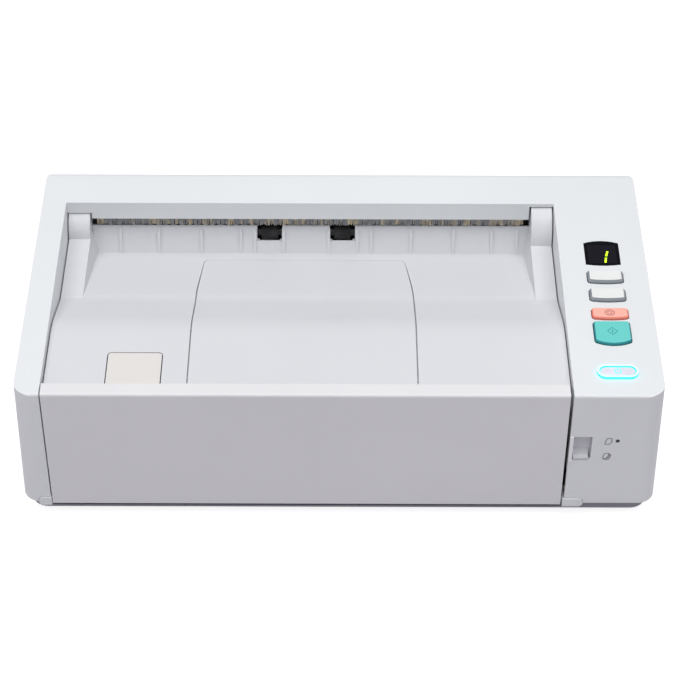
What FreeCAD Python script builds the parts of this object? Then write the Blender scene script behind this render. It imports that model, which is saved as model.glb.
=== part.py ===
import FreeCAD, Part
import math
import os
from FreeCAD import Vector

# Desktop document scanner: paper goes in at the front under a hinged upper unit,
# turns round at the back and comes out on the tray on top.
# Millimetres. +Z up, X across the paper, front face towards -Y,
# origin on the standing surface at the middle of the footprint.

# Overall body
TOP_WIDTH = 288.0
TOP_DEPTH = 154.8
FRONT_HEIGHT = 78.0
TOP_SLOPE = math.tan(math.radians(1.9))
DRAFT = math.tan(math.radians(1.2))
CORNER_R = 8.0
TOP_EDGE_R = 1.2
BACK_EDGE_R = 6.0
WALL = 2.2
COVER_BOTTOM = 11.3

# Base pan and feet
PAN_BOTTOM = 2.6
PAN_FLOOR = 2.0
PAN_WALL = 1.8
PAN_INSET = 3.0
PAN_RISE = 13.0
PAN_FRONT_RISE = 3.6
PAN_EDGE = 2.4
FOOT_R = 7.0
FOOT_INSET_X = 24.0
FOOT_INSET_Y = 20.0
FOOT_SEAT = 0.8

# Recess in the cover for the upper unit and the front door
RECESS_LEFT = -132.3
RECESS_RIGHT = 103.4
RECESS_WALL = 1.8
RECESS_WALL_BOTTOM = 30.0
BRIDGE_FRONT = 51.8
FASCIA_WALL = 2.0
FASCIA_BOTTOM = 72.66
UNIT_GAP = 0.6

# Hinge line of the upper unit
HINGE_Y = 56.7
HINGE_Z = 64.94
HINGE_PIN_R = 2.4
HINGE_FIT = 0.05

# Arms of the upper unit
ARM_LEFT_WIDTH = 10.3
ARM_RIGHT_WIDTH = 10.0
ARM_LEFT_NOSE_R = 11.4
ARM_RIGHT_NOSE_R = 15.6
ARM_DEPTH = 17.1
ARM_LEAN = 0.21
NOTCH_GAP = 0.9

# Eject tray
TRAY_SKIN = 2.2
TRAY_FRONT = -67.0
TRAY_DROP = 4.95
PLATEAU_BACK = -36.0
SHOULDER = (-20.0, 72.0)
KNEE_TOP = (-2.0, 65.2)
KNEE_BOTTOM = (6.5, 63.0)
WALL_FOOT = (49.8, 52.6)
WALL_LIP = (55.6, 65.6)
WALL_THICK = 1.6
FRONT_SKIRT_BOTTOM = 59.0
SIDE_SKIRT_BOTTOM = 42.0
SKIRT_THICK = 1.8
RIB_WIDTH = 1.4
RIB_PROUD = 1.5
RIB_DROP = 1.6
RIB_OFFSETS = (11.1, 25.1, 32.0, 51.4, 72.2, 91.0, 103.4)

# Paper path
PAPER_X = -16.5
PATH_Z = 19.0
PATH_HALF_GAP = 0.6
GUIDE_SKIN = 1.8
TURN_Y = 48.2
TURN_R = 24.0
TURN_END = 46.0
CORE_END = 38.0
PATH_HALF_WIDTH = 104.0
SIDE_PLATE = 2.0
UPPER_FRONT_R = 112.4
MOUTH_HEIGHT = 7.0
MOUTH_DEPTH = 8.0
LOWER_FRONT = -58.2
LOWER_RAMP = 3.0

# Rollers
SHAFT_R = 2.5
SHAFT_FIT = 0.06
FEED_Y = -38.0
FEED_R = 6.8
RETARD_R = 7.5
TRANSPORT_FRONT_Y = -18.0
TRANSPORT_REAR_Y = 30.0
TRANSPORT_R = 5.5
IDLER_R = 4.5
EJECT_Y = 57.95
EJECT_Z = 59.9
EJECT_ANGLE = 30.0
EJECT_R = 4.5
EJECT_DRIVE_R = 3.5
EJECT_JOURNAL_R = 1.5
NIP_GAP = 0.3
FEED_TYRE_WIDTH = 16.0
FEED_TYRE_OFFSET = 11.0
TYRE_WIDTH = 12.0
TYRE_OFFSETS = (-52.0, 52.0)
EJECT_TYRE_WIDTH = 8.0
WINDOW_OFFSET = 17.8
WINDOW_WIDTH = 12.4
WINDOW_BOTTOM = 58.3
TYRE_CLEAR = 1.2
RETARD_HALF = 25.0
IDLER_AXLE_R = 2.0

# Drive in the right-hand bay
BELT_WIDTH = 3.0
BELT_THICK = 1.0
BELT_FIT = 0.05
PULLEY_R = 5.0
FEED_BELT_X = 107.0
EJECT_BELT_X = 112.6
REAR_BELT_X = 118.2
GEAR_X = 124.4
GEAR_MODULE = 0.8
GEAR_WIDTH = 4.0
MAIN_TEETH = 18
PINION_TEETH = 10
GEAR_BACKLASH = 0.12
PINION_ANGLE = 75.0
MOTOR_R = 17.0
MOTOR_LENGTH = 10.0
MOTOR_SHAFT_R = 1.5
EJECT_GEAR_X = 88.9
EJECT_GEAR_WIDTH = 3.2
EJECT_TEETH = 10
EJECT_IDLER_TEETH = 14
EJECT_IDLER_ANGLE = -48.0
LAY_TEETH = 16
LAY_ANGLE = -100.0
LAY_SHAFT_R = 2.0

# Image sensors
SENSOR_LENGTH = 216.0
SENSOR_DEPTH = 14.0
SENSOR_HEIGHT = 9.0
LOWER_SENSOR_Y = -1.0
UPPER_SENSOR_Y = 13.0
SENSOR_GLASS = 1.2
GLASS_SET_BACK = 0.1

# Extension panel of the eject tray
PANEL_LEFT = -67.5
PANEL_RIGHT = 34.8
PANEL_BACK_LEFT = -65.9
PANEL_BACK_RIGHT = 31.4
PANEL_BACK = 42.3
PANEL_BEND_Y = 12.0
PANEL_THICK = 1.6
PANEL_GAP = 0.45
PANEL_SIDE_GAP = 0.65
PANEL_BACK_GAP = 0.15
PANEL_CORNER = 3.2
PANEL_SWEEP = 260.0
PANEL_FLOOR = 1.8
PANEL_HINGE_Y = -64.9
PANEL_HINGE_DROP = 1.2
PANEL_KNUCKLE_R = 1.2
PANEL_PIN_R = 0.6
SCOOP_LENGTH = 27.0
SCOOP_HALF = 11.2
SCOOP_Y = 28.2
SCOOP_DEEP = 2.4
SCOOP_SKIN = 1.6

# Open key and latch
OPEN_LEFT = -104.2
OPEN_WIDTH = 24.2
OPEN_BACK = -46.1
OPEN_FRONT = -66.4
OPEN_GAP = 0.5
LATCH_Y = -43.0
LATCH_Z = 47.0
LATCH_R = 2.5
LATCH_DROP = 24.0
HOOK_WIDTH = 3.0

# Front door
DOOR_GAP_LEFT = 0.6
DOOR_GAP_RIGHT = 1.5
DOOR_BOTTOM = 10.2
DOOR_SKIN = 2.2
DOOR_STRIP = 7.0
DOOR_LIP = 3.6
DOOR_HINGE_Y = -74.2
DOOR_HINGE_Z = 11.8
DOOR_PIN_R = 1.5
DOOR_PIN_LENGTH = 4.0
LINER_HEAD = (-67.7, 72.0)
LINER_HEEL = (-59.0, 15.0)
LINER_BOTTOM = 9.9
LINER_SKIN = 1.8
TAB_LEFT_WIDTH = 5.9
TAB_RIGHT_WIDTH = 9.4
TAB_BOTTOM = 9.4
TAB_HEIGHT = 4.8
TAB_PROUD = 0.5
TAB_END_R = 2.1

# Paper guides and extension plate on the door liner
GUIDE_SPREAD = 101.0
GUIDE_FIN = 2.0
GUIDE_LOW = 26.0
GUIDE_HIGH = 52.0
GUIDE_FOOT_WIDTH = 15.0
GUIDE_SLOT_Z = 22.0
GUIDE_SLOT_HEIGHT = 4.0
GUIDE_TRAVEL = 72.0
RACK_MODULE = 1.0
RACK_PINION_TEETH = 12
RACK_HEIGHT = 3.0
RACK_THICK = 2.4
PLATE_LEFT = -66.5
PLATE_RIGHT = 33.5
PLATE_LOW = 39.0
PLATE_HIGH = 73.4
PLATE_THICK = 1.0

# Feed selection lever on the right of the front
JAMB_WIDTH = 1.6
JAMB_DROP = 0.6
JAMB_PROUD = 0.5
SLOT_LEFT = 105.0
SLOT_RIGHT = 113.4
SLOT_LOW = 38.8
KNOB_HEIGHT = 4.6
LEVER_TRAVEL = 9.0
KNOB_GAP = 0.4
KNOB_RIGHT_GAP = 1.2
KNOB_LIP = 1.3
KNOB_SCOOP = 2.6
SLOT_HIGH = SLOT_LOW + KNOB_HEIGHT + LEVER_TRAVEL + 2 * KNOB_GAP

# Console on the right of the top
KEY_LEFT = 115.4
KEY_RIGHT = 131.9
KEY_GAP = 0.35
KEY_CORNER = 1.4
KEY_BOW = 0.8
SMALL_KEY_PROUD = 1.7
SMALL_KEY_SLOPE = 0.9
BIG_KEY_PROUD = 1.3
BIG_KEY_SLOPE = 0.5
POWER_RISE = 1.2
POWER_EDGE = 0.4
KEY_FLANGE = 1.0
KEY_FLANGE_THICK = 1.0
KEY_TRAVEL = 0.8
DISPLAY_FRONT = 8.4
DISPLAY_BACK = 23.5
DISPLAY_BOW = 1.6
UPPER_KEY = (-4.0, 3.4)
LOWER_KEY = (-16.3, -8.8)
STOP_KEY = (-28.2, -21.9)
START_KEY = (-43.4, -30.7)
START_BOW = 2.2
POWER_KEY = (-66.0, -60.0)
RING_WIDTH = 0.9
RING_PROUD = 1.4
BOARD_THICK = 1.6
CONSOLE_BOARD_Z = 66.0
SWITCH_SIZE = 4.5
SWITCH_HEIGHT = 3.0

# Connectors at the back of the right-hand bay
CONNECTOR_Z = 22.0
JACK_X = 132.0
JACK_BORE_R = 2.75
JACK_BODY = 9.0
JACK_DEEP = 10.0
JACK_PIN_R = 1.0
USB_X = 116.0
USB_WIDTH = 12.0
USB_HEIGHT = 11.0
USB_SHELL = 0.6
USB_DEEP = 12.0

# Static brush under the bridge
BRUSH_Y = 54.1
BRUSH_THICK = 0.7
BRUSH_TIP = 66.7
BRUSH_PITCH = 12.0
TUFT_WIDTH = 9.0

# Fasteners
SCREW_R = 1.5
SCREW_HEAD_R = 2.8
SCREW_LENGTH = 18.0
BOSS_R = 3.4

FRONT_Y = -TOP_DEPTH / 2
BACK_Y = TOP_DEPTH / 2
HALF_WIDTH = TOP_WIDTH / 2
UNIT_LEFT = RECESS_LEFT + UNIT_GAP
UNIT_RIGHT = RECESS_RIGHT - UNIT_GAP
FAR = 200.0
LOWER_TOP = PATH_Z - PATH_HALF_GAP
UPPER_BOTTOM = PATH_Z + PATH_HALF_GAP
TURN_Z = PATH_Z + TURN_R
PATH_LEFT = PAPER_X - PATH_HALF_WIDTH
PATH_RIGHT = PAPER_X + PATH_HALF_WIDTH
PAN_TOP = PAN_BOTTOM + PAN_FLOOR
POST_Z = PAN_BOTTOM + PAN_RISE + 0.2


def box(x0, x1, y0, y1, z0, z1):
    return Part.makeBox(x1 - x0, y1 - y0, z1 - z0, Vector(x0, y0, z0))


def rod(x0, x1, y, z, r):
    """Round bar along X."""
    return Part.makeCylinder(r, x1 - x0, Vector(x0, y, z), Vector(1, 0, 0))


def post(x, y, z0, z1, r):
    """Round bar along Z."""
    return Part.makeCylinder(r, z1 - z0, Vector(x, y, z0))


def pin_y(x, z, y0, y1, r):
    """Round bar along Y."""
    return Part.makeCylinder(r, y1 - y0, Vector(x, y0, z), Vector(0, 1, 0))


def join(first, *rest):
    return first.multiFuse(list(rest)).removeSplitter()


def rounded(shape, radius, wanted):
    """Fillet the edges that the test picks out."""
    return shape.makeFillet(radius, [e for e in shape.Edges if wanted(e)])


def span(edge):
    """Sizes of an edge along X, Y and Z."""
    if len(edge.Vertexes) < 2:
        return (0.0, 0.0, 0.0)
    a, b = edge.Vertexes[0].Point, edge.Vertexes[1].Point
    return (abs(a.x - b.x), abs(a.y - b.y), abs(a.z - b.z))


def upright(edge):
    dx, dy, dz = span(edge)
    return dz > 5 * max(dx, dy, 0.01)


def polar(cy, cz, r, degrees):
    """Point on a circle in the YZ plane, angle from +Y towards +Z."""
    a = math.radians(degrees)
    return (cy + r * math.cos(a), cz + r * math.sin(a))


class Outline:
    """Closed outline in the YZ plane, made of lines and arcs, to be drawn out along X."""

    def __init__(self, start):
        self.first = self.last = Vector(0, *start)
        self.edges = []

    def line(self, *points):
        for p in points:
            here = Vector(0, *p)
            if here.distanceToPoint(self.last) > 1e-6:
                self.edges.append(Part.makeLine(self.last, here))
                self.last = here
        return self

    def arc(self, middle, end):
        here = Vector(0, *end)
        self.edges.append(Part.Arc(self.last, Vector(0, *middle), here).toShape())
        self.last = here
        return self

    def turn(self, cy, cz, r, a0, a1):
        """Arc about a centre from one angle to another, after a line to its start."""
        self.line(polar(cy, cz, r, a0))
        return self.arc(polar(cy, cz, r, (a0 + a1) / 2), polar(cy, cz, r, a1))

    def slab(self, x0, x1):
        if self.last.distanceToPoint(self.first) > 1e-6:
            self.edges.append(Part.makeLine(self.last, self.first))
        face = Part.Face(Part.Wire(Part.__sortEdges__(self.edges)))
        face.translate(Vector(x0, 0, 0))
        return face.extrude(Vector(x1 - x0, 0, 0))


def polygon(points, x0, x1):
    return Outline(points[0]).line(*points[1:]).slab(x0, x1)


def top_z(y):
    """Height of the sloping top surface."""
    return FRONT_HEIGHT + (y - FRONT_Y) * TOP_SLOPE


def front_y(z):
    """The front face leans out towards its foot."""
    return FRONT_Y - (FRONT_HEIGHT - z) * DRAFT


def tub(z0, z1, inset, corner):
    """Body with drafted sides and rounded corners between two heights."""
    low = (FRONT_HEIGHT - z0) * DRAFT - inset
    high = (FRONT_HEIGHT - z1) * DRAFT - inset
    y, x = TOP_DEPTH / 2, HALF_WIDTH
    across = polygon([(-y - low, z0), (y + low, z0), (y + high, z1), (-y - high, z1)], -FAR, FAR)
    along = polygon([(-x - low, z0), (x + low, z0), (x + high, z1), (-x - high, z1)], -FAR, FAR)
    along.rotate(Vector(0, 0, 0), Vector(0, 0, 1), -90)
    block = across.common(along)
    return rounded(block, corner, upright)


def under_top(depth, front_r, back_r):
    """Everything below a surface parallel to the top, with its front and back edges rounded."""
    drop = FRONT_HEIGHT - depth
    back = BACK_Y - (top_z(BACK_Y) - FRONT_HEIGHT) * DRAFT - depth
    front = FRONT_Y + depth
    z_front = drop + (front - FRONT_Y) * TOP_SLOPE
    z_back = drop + (back - FRONT_Y) * TOP_SLOPE
    half = math.sqrt(0.5)
    out = Outline((front, -1.0)).line((front - 4.0, -1.0), (front - 4.0, z_front - front_r))
    out.line((front, z_front - front_r))
    centre = (front + front_r, z_front - front_r)
    out.arc((centre[0] - front_r * half, centre[1] + front_r * half), (front + front_r, z_front))
    out.line((back - back_r, z_back))
    centre = (back - back_r, z_back - back_r)
    out.arc((centre[0] + back_r * half, centre[1] + back_r * half), (back, z_back - back_r))
    out.line((back + 4.0, z_back - back_r), (back + 4.0, -1.0))
    return out.slab(-FAR, FAR)


def tray_top(out, back_first, drop):
    """The eject tray's upper surface, lowered by drop, from front to wall or the other way."""
    plateau = (PLATEAU_BACK, top_z(PLATEAU_BACK) - TRAY_DROP - drop)
    front = (TRAY_FRONT, top_z(TRAY_FRONT) - TRAY_DROP - drop)
    shoulder = (SHOULDER[0], SHOULDER[1] - drop)
    knee_top = (KNEE_TOP[0], KNEE_TOP[1] - drop)
    knee_bottom = (KNEE_BOTTOM[0], KNEE_BOTTOM[1] - drop)
    foot = (WALL_FOOT[0], WALL_FOOT[1] - drop)
    bulge = ((plateau[0] + shoulder[0]) / 2, (plateau[1] + shoulder[1]) / 2 + 0.85)
    dip = ((knee_top[0] + knee_bottom[0]) / 2, (knee_top[1] + knee_bottom[1]) / 2 - 0.3)
    if back_first:
        out.line(foot, knee_bottom).arc(dip, knee_top).line(shoulder)
        return out.arc(bulge, plateau).line(front)
    out.line(front, plateau).arc(bulge, shoulder)
    return out.line(knee_top).arc(dip, knee_bottom).line(foot)


def tray_layer(low, high, x0, x1):
    """Slab of the tray between two depths below its surface."""
    start = (TRAY_FRONT, top_z(TRAY_FRONT) - TRAY_DROP - low)
    out = tray_top(Outline(start), False, low)
    return tray_top(out, True, high).slab(x0, x1)


def plan_shape(x0, x1, y0, y1, bow_front, bow_back, corner, z0, z1):
    """Upright prism with straight sides and bowed front and back edges."""
    middle = (x0 + x1) / 2
    edges = [Part.makeLine(Vector(x1, y0, z0), Vector(x1, y1, z0))]
    if bow_back:
        top = Vector(middle, y1 + bow_back, z0)
        edges.append(Part.Arc(Vector(x1, y1, z0), top, Vector(x0, y1, z0)).toShape())
    else:
        edges.append(Part.makeLine(Vector(x1, y1, z0), Vector(x0, y1, z0)))
    edges.append(Part.makeLine(Vector(x0, y1, z0), Vector(x0, y0, z0)))
    if bow_front:
        low = Vector(middle, y0 - bow_front, z0)
        edges.append(Part.Arc(Vector(x0, y0, z0), low, Vector(x1, y0, z0)).toShape())
    else:
        edges.append(Part.makeLine(Vector(x0, y0, z0), Vector(x1, y0, z0)))
    solid = Part.Face(Part.Wire(Part.__sortEdges__(edges))).extrude(Vector(0, 0, z1 - z0))
    if corner:
        solid = rounded(solid, corner, upright)
    return solid


def above_top(rise):
    """Everything higher than a plane that lies rise above the sloping top."""
    y0, y1 = FRONT_Y - 20, BACK_Y + 20
    return polygon([(y0, top_z(y0) + rise), (y1, top_z(y1) + rise), (y1, 150), (y0, 150)], -FAR, FAR)


CONSOLE_SHAPES = {
    "display": (KEY_LEFT, KEY_RIGHT, DISPLAY_FRONT, DISPLAY_BACK, DISPLAY_BOW / 2, DISPLAY_BOW, 0.0),
    "upper_key": (KEY_LEFT, KEY_RIGHT, UPPER_KEY[0], UPPER_KEY[1], KEY_BOW, 0.0, KEY_CORNER),
    "lower_key": (KEY_LEFT, KEY_RIGHT, LOWER_KEY[0], LOWER_KEY[1], KEY_BOW, 0.0, KEY_CORNER),
    "stop_key": (KEY_LEFT, KEY_RIGHT, STOP_KEY[0], STOP_KEY[1], KEY_BOW, 0.0, KEY_CORNER),
    "start_key": (KEY_LEFT, KEY_RIGHT, START_KEY[0], START_KEY[1], START_BOW, 0.0, KEY_CORNER),
}
POWER_R = (POWER_KEY[1] - POWER_KEY[0]) / 2


def console_prism(name, grow, z0, z1):
    x0, x1, y0, y1, bow_front, bow_back, corner = CONSOLE_SHAPES[name]
    radius = corner + max(grow, 0.0) if corner else 0.0
    return plan_shape(x0 - grow, x1 + grow, y0 - grow, y1 + grow, bow_front, bow_back, radius, z0, z1)


def power_prism(grow, z0, z1):
    """Stadium shape of the power key and its ring."""
    y = (POWER_KEY[0] + POWER_KEY[1]) / 2
    r = POWER_R + grow
    x0, x1 = KEY_LEFT + POWER_R, KEY_RIGHT - POWER_R
    return join(box(x0, x1, y - r, y + r, z0, z1), post(x0, y, z0, z1, r), post(x1, y, z0, z1, r))


def make_outer_cover():
    inside = tub(-1.0, 100.0, WALL, CORNER_R - WALL).common(under_top(WALL, TOP_EDGE_R, BACK_EDGE_R - WALL))
    cover = tub(COVER_BOTTOM, 100.0, 0.0, CORNER_R).common(under_top(0.0, TOP_EDGE_R, BACK_EDGE_R))
    wall_left = RECESS_LEFT - RECESS_WALL
    wall_right = RECESS_RIGHT + RECESS_WALL
    wall_back = BRIDGE_FRONT + FASCIA_WALL
    cover = cover.cut(inside.common(box(-FAR, wall_left, -FAR, FAR, -2, FAR)))
    cover = cover.cut(inside.common(box(wall_right, FAR, -FAR, FAR, -2, FAR)))
    cover = cover.cut(inside.common(box(RECESS_LEFT, RECESS_RIGHT, wall_back, FAR, -2, FAR)))
    cover = cover.cut(box(RECESS_LEFT, RECESS_RIGHT, -FAR, BRIDGE_FRONT, -2, FAR))
    low = tub(-1.0, RECESS_WALL_BOTTOM, WALL, CORNER_R - WALL)
    cover = cover.cut(low.common(box(wall_left - 1, wall_right + 1, -FAR, FAR, -2, FAR)))
    cover = cover.cut(box(RECESS_LEFT, RECESS_RIGHT, BRIDGE_FRONT - 1, wall_back + 1, -2, FASCIA_BOTTOM))
    return cover


def notches():
    """Openings in the fascia for the rounded noses of the arms, and room above the right one."""
    y0, y1 = BRIDGE_FRONT - 1, BRIDGE_FRONT + FASCIA_WALL + 1
    reach = HINGE_Y - BRIDGE_FRONT
    left_top = HINGE_Z + math.sqrt(ARM_LEFT_NOSE_R ** 2 - reach ** 2) + NOTCH_GAP
    right_top = HINGE_Z + math.sqrt(ARM_RIGHT_NOSE_R ** 2 - reach ** 2) + NOTCH_GAP
    left = box(RECESS_LEFT, UNIT_LEFT + ARM_LEFT_WIDTH + NOTCH_GAP, y0, y1, FASCIA_BOTTOM - 1, left_top)
    right = box(UNIT_RIGHT - ARM_RIGHT_WIDTH - NOTCH_GAP, RECESS_RIGHT, y0, y1, FASCIA_BOTTOM - 1, right_top)
    room_left = UNIT_RIGHT - ARM_RIGHT_WIDTH - NOTCH_GAP
    room = rod(room_left, RECESS_RIGHT, HINGE_Y, HINGE_Z, ARM_RIGHT_NOSE_R + 0.5)
    room = room.cut(box(-FAR, FAR, -FAR, y0 + 1, -FAR, FAR))
    return left.multiFuse([right, room])


def gear(x0, width, y, z, teeth, bore):
    """Spur gear across X with straight-sided teeth."""
    pitch = GEAR_MODULE * teeth / 2
    tip, root = pitch + GEAR_MODULE, pitch - 1.2 * GEAR_MODULE
    step = 2 * math.pi / teeth
    points = []
    for n in range(teeth):
        for share, r in ((-0.31, root), (-0.12, tip), (0.12, tip), (0.31, root)):
            a = (n + share) * step
            points.append((y + r * math.cos(a), z + r * math.sin(a)))
    return polygon(points, x0, x0 + width).cut(rod(x0 - 1, x0 + width + 1, y, z, bore))


def turned(solid, y, z, degrees):
    """Turn a solid about an axis along X."""
    solid.rotate(Vector(0, y, z), Vector(1, 0, 0), degrees)
    return solid


def pulley(x0, y, z):
    """Pulley one belt wide with a flange on its right side."""
    body = rod(x0 - 0.4, x0 + BELT_WIDTH + 0.8, y, z, PULLEY_R)
    rim = PULLEY_R + BELT_THICK + 0.4
    return join(body, rod(x0 + BELT_WIDTH + 0.15, x0 + BELT_WIDTH + 0.8, y, z, rim))


def belt(x0, a, b):
    """Endless flat belt round two equal pulleys."""
    length = math.hypot(b[0] - a[0], b[1] - a[1])
    solids = []
    for r in (PULLEY_R + BELT_FIT + BELT_THICK, PULLEY_R + BELT_FIT):
        loop = Outline((0, -r)).line((length, -r)).arc((length + r, 0), (length, r))
        loop.line((0, r)).arc((-r, 0), (0, -r))
        solids.append(loop.slab(x0, x0 + BELT_WIDTH))
    ring = solids[0].cut(solids[1])
    ring.rotate(Vector(0, 0, 0), Vector(1, 0, 0), math.degrees(math.atan2(b[1] - a[1], b[0] - a[0])))
    ring.translate(Vector(0, a[0], a[1]))
    return ring


# Shaft lines, each a point in the YZ plane
FEED_LINE = (FEED_Y, LOWER_TOP + NIP_GAP - FEED_R + 0.6)
RETARD_LINE = (FEED_Y, FEED_LINE[1] + FEED_R + NIP_GAP + RETARD_R)
FRONT_LINE = (TRANSPORT_FRONT_Y, LOWER_TOP + 0.5 - TRANSPORT_R)
REAR_LINE = (TRANSPORT_REAR_Y, LOWER_TOP + 0.5 - TRANSPORT_R)
FRONT_IDLER_LINE = (TRANSPORT_FRONT_Y, FRONT_LINE[1] + TRANSPORT_R + NIP_GAP + IDLER_R)
REAR_IDLER_LINE = (TRANSPORT_REAR_Y, REAR_LINE[1] + TRANSPORT_R + NIP_GAP + IDLER_R)
EJECT_LINE = (EJECT_Y, EJECT_Z)
DRIVE_LINE = polar(EJECT_Y, EJECT_Z, EJECT_R + NIP_GAP + EJECT_DRIVE_R, 90 - EJECT_ANGLE)
IDLER_REACH = GEAR_MODULE * (EJECT_TEETH + EJECT_IDLER_TEETH) / 2 + GEAR_BACKLASH
EJECT_IDLER_LINE = polar(*DRIVE_LINE, IDLER_REACH, EJECT_IDLER_ANGLE)
LAY_REACH = GEAR_MODULE * (EJECT_IDLER_TEETH + LAY_TEETH) / 2 + GEAR_BACKLASH
LAY_LINE = polar(*EJECT_IDLER_LINE, LAY_REACH, LAY_ANGLE)
MOTOR_REACH = GEAR_MODULE * (MAIN_TEETH + PINION_TEETH) / 2 + GEAR_BACKLASH
MOTOR_LINE = polar(REAR_LINE[0], REAR_LINE[1], MOTOR_REACH, PINION_ANGLE)

# Side plates and the widths inside them
LOWER_PLATE_LEFT = -128.5
LOWER_PLATE_RIGHT = 96.0
UPPER_PLATE_LEFT = -128.0
UPPER_PLATE_RIGHT = 97.2
UPPER_PLATE = 1.6
CHEEK = 1.5
TURN_LEFT = PATH_LEFT + 1.0
TURN_RIGHT = PATH_RIGHT - 0.5


def tyres(line, radius, width, places):
    return [(PAPER_X + p - width / 2, PAPER_X + p + width / 2, line, radius) for p in places]


LOWER_TYRES = (tyres(FEED_LINE, FEED_R, FEED_TYRE_WIDTH, (-FEED_TYRE_OFFSET, FEED_TYRE_OFFSET))
               + tyres(FRONT_LINE, TRANSPORT_R, TYRE_WIDTH, TYRE_OFFSETS)
               + tyres(REAR_LINE, TRANSPORT_R, TYRE_WIDTH, TYRE_OFFSETS))
UPPER_TYRES = (tyres(RETARD_LINE, RETARD_R, FEED_TYRE_WIDTH, (-FEED_TYRE_OFFSET, FEED_TYRE_OFFSET))
               + tyres(FRONT_IDLER_LINE, IDLER_R, TYRE_WIDTH, TYRE_OFFSETS)
               + tyres(REAR_IDLER_LINE, IDLER_R, TYRE_WIDTH, TYRE_OFFSETS))


def tyre_slots(rows, z0, z1):
    """Rectangular holes that tyres come through."""
    holes = []
    for x0, x1, line, radius in rows:
        near = [abs(z - line[1]) for z in (z0, z1)]
        reach = math.sqrt(max(radius ** 2 - min(near) ** 2, 4.0)) + TYRE_CLEAR
        holes.append(box(x0 - TYRE_CLEAR, x1 + TYRE_CLEAR, line[0] - reach, line[0] + reach, z0 - 1, z1 + 1))
    return holes


def roller(line, x0, x1, rows, hub_r):
    """Shaft with plastic hubs under its tyres."""
    shaft = rod(x0, x1, line[0], line[1], SHAFT_R)
    if hub_r <= SHAFT_R:
        return shaft
    return join(shaft, *[rod(r0, r1, line[0], line[1], hub_r) for r0, r1, at, radius in rows if at == line])


def roller_tyres(line, rows, hub_r):
    rings = []
    for x0, x1, at, radius in rows:
        if at == line:
            ring = rod(x0, x1, line[0], line[1], radius).cut(rod(x0 - 1, x1 + 1, line[0], line[1], hub_r))
            rings.append(ring)
    return Part.makeCompound(rings)


def make_base_pan():
    top = PAN_BOTTOM + PAN_RISE
    outer = tub(PAN_BOTTOM, top, PAN_INSET, CORNER_R)
    rim = [e for e in outer.Edges if e.BoundBox.ZMax < PAN_BOTTOM + 0.1 and not upright(e)]
    outer = outer.makeChamfer(PAN_EDGE, rim)
    pan = outer.cut(tub(PAN_TOP, top + 1, PAN_INSET + PAN_WALL, CORNER_R - PAN_WALL))
    pan = pan.cut(box(RECESS_LEFT, RECESS_RIGHT, -FAR, LOWER_FRONT - 3, PAN_BOTTOM + PAN_FRONT_RISE, FAR))
    ribs = []
    for y in (-30.0, 8.0, 44.0):
        rib_left = LOWER_PLATE_LEFT + SIDE_PLATE + 1
        ribs.append(box(rib_left, LOWER_PLATE_RIGHT - 1, y, y + 1.6, PAN_TOP, PAN_TOP + 1.6))
    for x in (-100.0, -50.0, 12.0, 70.0):
        ribs.append(box(x, x + 1.6, -50, 46, PAN_TOP, PAN_TOP + 1.6))
    pan = join(pan, *ribs)
    for x, y in screw_places():
        pan = pan.fuse(post(x, y, PAN_TOP - 0.5, POST_Z, BOSS_R))
        head = post(x, y, 0, PAN_BOTTOM + 2.4, SCREW_HEAD_R + 0.4)
        pan = pan.cut(post(x, y, 0, 30, SCREW_R + 0.3).fuse(head))
    for x, y in foot_places():
        pan = pan.cut(post(x, y, 0, PAN_BOTTOM + FOOT_SEAT, FOOT_R))
    pan = pan.cut(tab_boxes(0.0))
    vents = [box(x, x + 3.0, 20, 46, 0, 20) for x in (110.0, 117.0, 124.0, 131.0)]
    return pan.cut(Part.makeCompound(vents)).removeSplitter()


def foot_places():
    x, y = HALF_WIDTH - FOOT_INSET_X, TOP_DEPTH / 2 - FOOT_INSET_Y
    return [(sx * x, sy * y) for sx in (-1, 1) for sy in (-1, 1)]


def screw_places():
    return [(-138.0, -44.0), (-138.0, 26.0), (138.4, -60.0), (138.4, 60.0)]


def make_rubber_feet():
    pads = []
    for x, y in foot_places():
        pads.append(post(x, y, 0, PAN_BOTTOM + FOOT_SEAT, FOOT_R))
    return Part.makeCompound(pads)


def make_cover_screws():
    screws = []
    for x, y in screw_places():
        head_top = PAN_BOTTOM + 2.4
        head = post(x, y, head_top - 1.8, head_top, SCREW_HEAD_R)
        cross = box(x - 1.6, x + 1.6, y - 0.35, y + 0.35, 0, head_top - 0.8)
        cross = cross.fuse(box(x - 0.35, x + 0.35, y - 1.6, y + 1.6, 0, head_top - 0.8))
        screws.append(head.cut(cross).fuse(post(x, y, head_top - 0.1, head_top + SCREW_LENGTH, SCREW_R)))
    return Part.makeCompound([s.removeSplitter() for s in screws])


def console_cuts():
    """Openings in the top for the display, the keys and the power key."""
    cuts = []
    for name in CONSOLE_SHAPES:
        grow = 0.0 if name == "display" else KEY_GAP
        cuts.append(console_prism(name, grow, 70, 95))
    cuts.append(power_prism(RING_WIDTH, 70, 95))
    return cuts


def lever_face_cuts():
    """Slot of the feed lever in the front face."""
    slot = box(SLOT_LEFT, SLOT_RIGHT, -90, -70, SLOT_LOW, SLOT_HIGH)
    return [slot]


def connector_cuts():
    z = CONNECTOR_Z
    jack = pin_y(JACK_X, z, 60, 90, JACK_BORE_R + 1.2)
    usb = box(USB_X - USB_WIDTH / 2 - 0.4, USB_X + USB_WIDTH / 2 + 0.4, 60, 90, z - USB_HEIGHT / 2 - 0.4,
              z + USB_HEIGHT / 2 + 0.4)
    return [jack, usb]


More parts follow.
